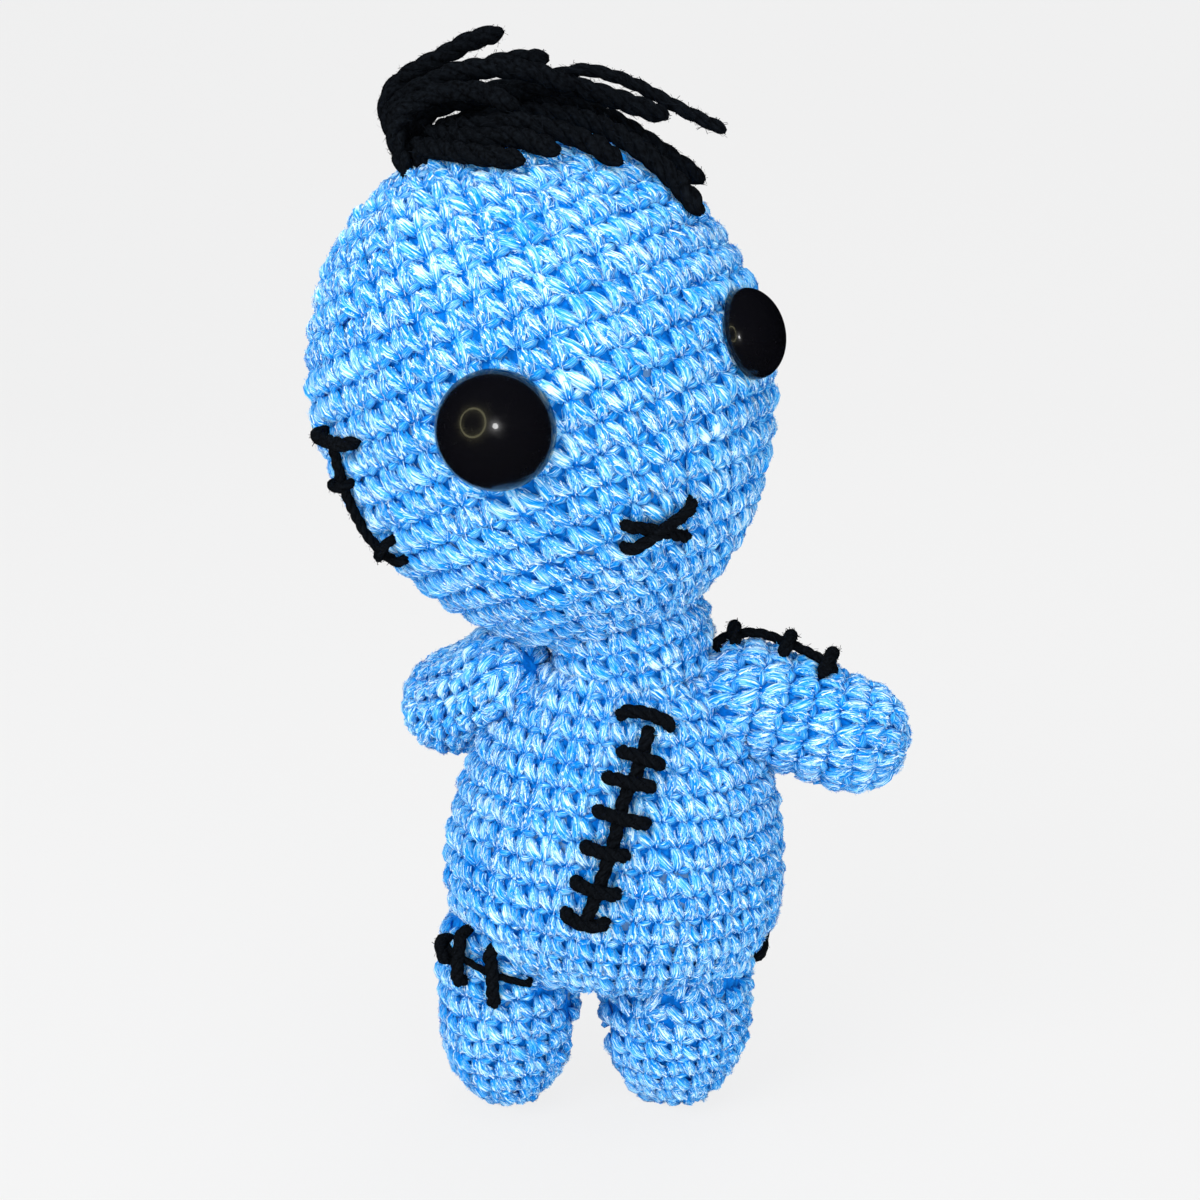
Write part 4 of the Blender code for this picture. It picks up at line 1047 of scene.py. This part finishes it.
def hair_strand(index, shares):
    crown = Matrix.Translation((0.0, 0.0, HEAD_RISE + HEAD_TOP)) @ turning("Z", HAIR_SWEEP)
    radius = HAIR_RADIUS * WISPS.get(index, 1.0)
    points = [crown @ (share * (HAIR_SPAN / 100)) for share in smooth_line(shares, 3 * len(shares))]
    points = [points[0] * HAIR_ROOT] + [clear_of_head(point, radius) for point in points]
    points.append(points[-1] + (points[-1] - points[-2]).normalized() * HAIR_END)
    return yarn_piece("hair_strand_" + str(index + 1), [HEAD @ point for point in points], radius, HAIR_TWIST)


HAIR_PIECES = {"hair_strand_" + str(i + 1): hair_strand(i, shares) for i, shares in enumerate(HAIR)}
print("hair faces", sum(len(piece.data.polygons) for piece in HAIR_PIECES.values()))

# %% [markdown]
# ## Eyes
#
# The eyes are domed plastic on a thin rim, with a ribbed post that a washer holds inside the head. Their edge and the
# reflections in them show every facet, so they are turned from a profile with many steps instead of taken from the
# solids. The fabric dents under each dome, so what lies there is pushed back behind the rim.

# %% Turn the eyes
# Each eye: its turn about the head's axis, its height as a share of the head, and its radius
EYES = {"right": (-32.6, -0.118, 9.6 * MM), "left": (40.0, -0.096, 7.6 * MM)}
EYE_DOME, EYE_RIM, EYE_SINK = 0.70, 0.9 * MM, 0.8 * MM
POST_RADIUS, POST_LENGTH, POST_RIB, POST_RIBS = 2.2 * MM, 12.0 * MM, 0.4 * MM, 3
DOME_STEPS, EDGE_ROUND = 24, 0.25 * MM


def eye_material():
    material, tree, shader = new_material("eye_plastic", 0.22, specular=0.22, coat=0.6)
    shader.inputs["Base Color"].default_value = EYE_BLACK
    shader.inputs["Coat IOR"].default_value = 1.32
    limits = {"From Min": 0.35, "From Max": 0.75, "To Min": 0.18, "To Max": 0.30}
    rough = out(tree, "ShaderNodeMapRange", {"Value": clouds(tree, 700.0, 3.0), **limits})
    tree.links.new(rough, shader.inputs["Roughness"])
    return material


def eye_profile(radius):
    """From the tip of the post to the top of the dome."""
    pitch = POST_LENGTH / (2 * POST_RIBS + 1)
    points = [(0.0, -POST_LENGTH)]
    for i in reversed(range(2 * POST_RIBS + 1)):
        across = POST_RADIUS - (POST_RIB if i % 2 else 0.0)
        points += [(across, -pitch * (i + 1)), (across, -pitch * i)]
    points += [(radius - EDGE_ROUND, 0.0), (radius, EDGE_ROUND)]
    for i in range(DOME_STEPS + 1):
        angle = QUARTER * (1 - i / DOME_STEPS)
        points.append((radius * math.sin(angle), EYE_RIM + radius * EYE_DOME * math.cos(angle)))
    return points


def eye_seat(turn, share):
    """A frame a little under the head's surface: Z points out of the head."""
    height = share * HEAD_BOTTOM
    half = HEAD_TOP if height > 0 else HEAD_BOTTOM
    across = HEAD_RADIUS * math.sqrt(1 - (height / half) ** 2)
    level = on_ring(math.radians(turn))
    point = level * across + Vector((0.0, 0.0, HEAD_RISE + height))
    normal = (level * (across / HEAD_RADIUS**2) + Vector((0.0, 0.0, height / half**2))).normalized()
    seat = HEAD @ Matrix.Translation(point) @ normal.to_track_quat("Z", "Y").to_matrix().to_4x4()
    return seat @ Matrix.Translation((0.0, 0.0, -EYE_SINK))


EYE_BLACK_PLASTIC = eye_material()
EYE_PIECES = {}
for word, (turn, share, radius) in EYES.items():
    profile = eye_profile(radius)
    eye = turned("eye_" + word + "_dome", profile, eye_seat(turn, share), 96, len(profile) - 1)
    eye.data.materials.append(EYE_BLACK_PLASTIC)
    EYE_PIECES["eye_" + word] = eye
print("eyes", {name: len(eye.data.polygons) for name, eye in EYE_PIECES.items()})

# %% Clear the stitches from under the eyes
DENT_EDGE, DENT_WIDTH, DENT_DEPTH, DENT_REACH = 0.6 * MM, 1.6 * MM, 0.6 * MM, 4.0 * MM


def cleared(item, seat, radius):
    """Push what lies under an eye's dome back behind its rim."""
    inverse = seat.inverted()
    for vertex in item.data.vertices:
        low = inverse @ vertex.co
        inner = radius + DENT_EDGE - math.hypot(low.x, low.y)
        if inner > 0 and low.z > -DENT_REACH:
            share = min(inner / DENT_WIDTH, 1.0)
            low.z = min(low.z, low.z * (1 - share) - DENT_DEPTH * share)
            vertex.co = seat @ low
    item.data.update()


for turn, share, radius in EYES.values():
    for layer in (CLOTH["head"], *FUZZ["head"], SKINS["head"]):
        cleared(layer, eye_seat(turn, share), radius)
print("eyes seated")

# %% [markdown]
# ## Washers
#
# The locking washers are right as they are, so the solids show, in moulded plastic of an uneven natural colour. The
# filling and the plain shells aren't shown, because the pieces above stand for them.

# %% Washers
NATURAL_DARK, NATURAL_PALE = (0.66, 0.66, 0.63, 1.0), (0.78, 0.78, 0.75, 1.0)
NATURAL, tree, shader = new_material("natural_plastic", 0.45)
stops = ((0.3, NATURAL_DARK), (0.7, NATURAL_PALE))
tree.links.new(ramp(tree, clouds(tree, 300.0, 2.0), stops), shader.inputs["Base Color"])
for word in EYES:
    washer = frame["nodes"]["eye_washer_" + word]
    washer.data.materials.clear()
    washer.data.materials.append(NATURAL)
print("washers", NATURAL.name)

# %% [markdown]
# ## What moves with what
#
# The pieces of the head ride on the head, and those of the torso and the legs on the torso. The fabric of the neck
# and of the arms, with the arm's scar, is sewn to two bodies on the real doll; here it is fixed in place and rides on
# no body, so a gap can open there when a joint moves.

# %% Ride, fix in place and replace
# The solids that each skin stands for, whose filling and shell are hidden
SOLIDS = {part: (part,) for part in ("head", "neck", "arm_left", "arm_right")}
SOLIDS["body"] = ("torso", "leg_right", "leg_left")


def bend_between(item, part):
    """Fix a piece of the neck or an arm in place, or let it ride on the torso or the head."""
    if part == "neck":
        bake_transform(item)
    elif part.startswith("arm"):
        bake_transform(item)
    else:
        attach(item, "torso" if part == "body" else part)


for part, skin in SKINS.items():
    for item in (skin, CLOTH[part], *FUZZ[part]):
        bend_between(item, part)
    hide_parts(*[name + "_stuffing" for name in SOLIDS[part]])
    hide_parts(*[name + "_shell" for name in SOLIDS[part]])
for part, pieces, slot in (
    *((part, pieces, "black_embroidery_yarn") for part, pieces in SEWN.items()),
    ("head", HAIR_PIECES, "black_hair_yarn"),
    ("head", EYE_PIECES, "black_glossy_plastic"),
):
    for node, piece in pieces.items():
        bend_between(piece, part)
        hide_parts(node)

# %% [markdown]
# ## Studio
#
# The doll stands on a plain pale sheet that curves up behind it. A large soft lamp on the upper left, a weaker one on
# the right, one overhead and one behind give soft shadows. Big lamps would show as white patches in the glossy eyes,
# so glossy rays don't see them. The eyes reflect a small round lamp and a thin glowing ring instead.

# %% Floor and backdrop
SHEET_HALF, SHEET_FRONT, SHEET_RUN, SHEET_BEND, SHEET_RISE, SHEET_STEPS = 2.5, -2.5, 0.9, 0.6, 2.2, 16
SHEET_GREY, SHEET_GLOW = (0.88, 0.88, 0.88, 1.0), 0.93


def backdrop():
    """A sheet that lies flat and then curves up behind the doll."""
    line = [(SHEET_FRONT, 0.0), (SHEET_RUN, 0.0)]
    for i in range(1, SHEET_STEPS + 1):
        angle = QUARTER * i / SHEET_STEPS
        line.append((SHEET_RUN + SHEET_BEND * math.sin(angle), SHEET_BEND * (1 - math.cos(angle))))
    line.append((SHEET_RUN + SHEET_BEND, SHEET_RISE))
    vertices = [Vector((side * SHEET_HALF, y, z)) for y, z in line for side in (-1, 1)]
    faces = [(2 * i, 2 * i + 1, 2 * i + 3, 2 * i + 2) for i in range(len(line) - 1)]
    made = new_solid("backdrop", vertices, faces)
    made.data.shade_smooth()
    material, tree, shader = new_material("pale_sheet", 1.0, specular=0.0)
    shader.inputs["Base Color"].default_value = SHEET_GREY
    rays = add(tree, "ShaderNodeLightPath").outputs
    glow = out(tree, "ShaderNodeEmission", {"Color": PALE, "Strength": 1.0})
    amount = maths(tree, "MULTIPLY", rays["Is Camera Ray"], SHEET_GLOW)
    surface = out(tree, "ShaderNodeMixShader", {0: amount, 1: shader.outputs[0], 2: glow})
    dark = out(tree, "ShaderNodeBsdfDiffuse", {"Color": DARK_ROOM})
    surface = out(tree, "ShaderNodeMixShader", {0: rays["Is Glossy Ray"], 1: surface, 2: dark})
    tree.links.new(surface, tree.nodes["Material Output"].inputs["Surface"])
    made.data.materials.append(material)
    return made


backdrop()
print("backdrop laid")

# %% Lamps
# Each lamp: its bearing, its height in degrees, its distance and size in metres, and its watts
LAMPS = {
    "key": (-30.0, 36.0, 0.9, 0.55, 5.9),
    "fill": (36.0, 4.0, 1.1, 0.8, 5.5),
    "top": (10.0, 82.0, 0.9, 0.6, 3.0),
    "back": (170.0, 40.0, 1.1, 0.7, 2.5),
    "glint": (-2.0, 6.5, 0.60, 0.075, 0.55),
}
RING_BEARING, RING_HEIGHT, RING_DISTANCE, RING_RADIUS, RING_HALF, RING_STEPS = -32.0, 10.0, 0.50, 0.155, 0.011, 64
RING_COLOUR, RING_STRENGTH = (1.0, 0.95, 0.55, 1.0), 6.0
AIM = Vector((FLOOR_X + 1.2 * MM, FLOOR_Y, 95.1 * MM))


def aimed(made, azimuth, elevation, distance):
    """Set a lamp or the camera at a bearing from the doll, and turn it to the doll. Azimuth 0 is straight in front."""
    a, e = math.radians(azimuth), math.radians(elevation)
    made.location = AIM + Vector((math.cos(e) * math.sin(a), -math.cos(e) * math.cos(a), math.sin(e))) * distance
    made.rotation_euler = (AIM - made.location).to_track_quat("-Z", "Y").to_euler()
    return made


for name, (azimuth, elevation, distance, size, watts) in LAMPS.items():
    light = bpy.data.lights.new(name, "AREA")
    light.shape = "DISK"
    light.size = size
    light.energy = watts
    lamp = aimed(new_object(name, light), azimuth, elevation, distance)
    lamp.visible_glossy = name == "glint"


def ring_lamp():
    """A thin glowing ring that only shows in glossy things."""
    turns = [2 * math.pi * k / RING_STEPS for k in range(RING_STEPS)]
    sizes = (RING_RADIUS - RING_HALF, RING_RADIUS + RING_HALF)
    vertices = [(size * math.cos(turn), size * math.sin(turn), 0.0) for size in sizes for turn in turns]
    after = [(k + 1) % RING_STEPS for k in range(RING_STEPS)]
    faces = [(k, after[k], RING_STEPS + after[k], RING_STEPS + k) for k in range(RING_STEPS)]
    made = aimed(new_solid("ring_lamp", vertices, faces), RING_BEARING, RING_HEIGHT, RING_DISTANCE)
    material, tree, _ = new_material("ring_glow", 1.0)
    glow = out(tree, "ShaderNodeEmission", {"Color": RING_COLOUR, "Strength": RING_STRENGTH})
    tree.links.new(glow, tree.nodes["Material Output"].inputs["Surface"])
    made.data.materials.append(material)
    made.visible_camera = made.visible_diffuse = made.visible_shadow = False
    return made


ring_lamp()
print("lamps", sorted(LAMPS))

# %% Sky and camera
AZIMUTH, ELEVATION, DISTANCE, LENS, SENSOR = 8.0, 13.0, 352.0 * MM, 60.0, 36.0
SKY = (0.44, 0.45, 0.47, 1.0)

world = bpy.data.worlds.new("studio")
bpy.context.scene.world = world
world.use_nodes = True
tree = world.node_tree
rays = add(tree, "ShaderNodeLightPath").outputs
seen = maths(tree, "MAXIMUM", rays["Is Camera Ray"], rays["Is Transmission Ray"])
lit = mixed(tree, rays["Is Glossy Ray"], mixed(tree, seen, SKY, PALE), DARK_ROOM)
tree.links.new(lit, tree.nodes["Background"].inputs["Color"])

camera_data = bpy.data.cameras.new("camera")
camera_data.lens = LENS
camera_data.sensor_width = SENSOR
camera = aimed(new_object("camera", camera_data), AZIMUTH, ELEVATION, DISTANCE)
bpy.context.scene.camera = camera
bpy.context.scene.view_settings.view_transform = "Standard"
print("camera", [round(value, 4) for value in camera.location])
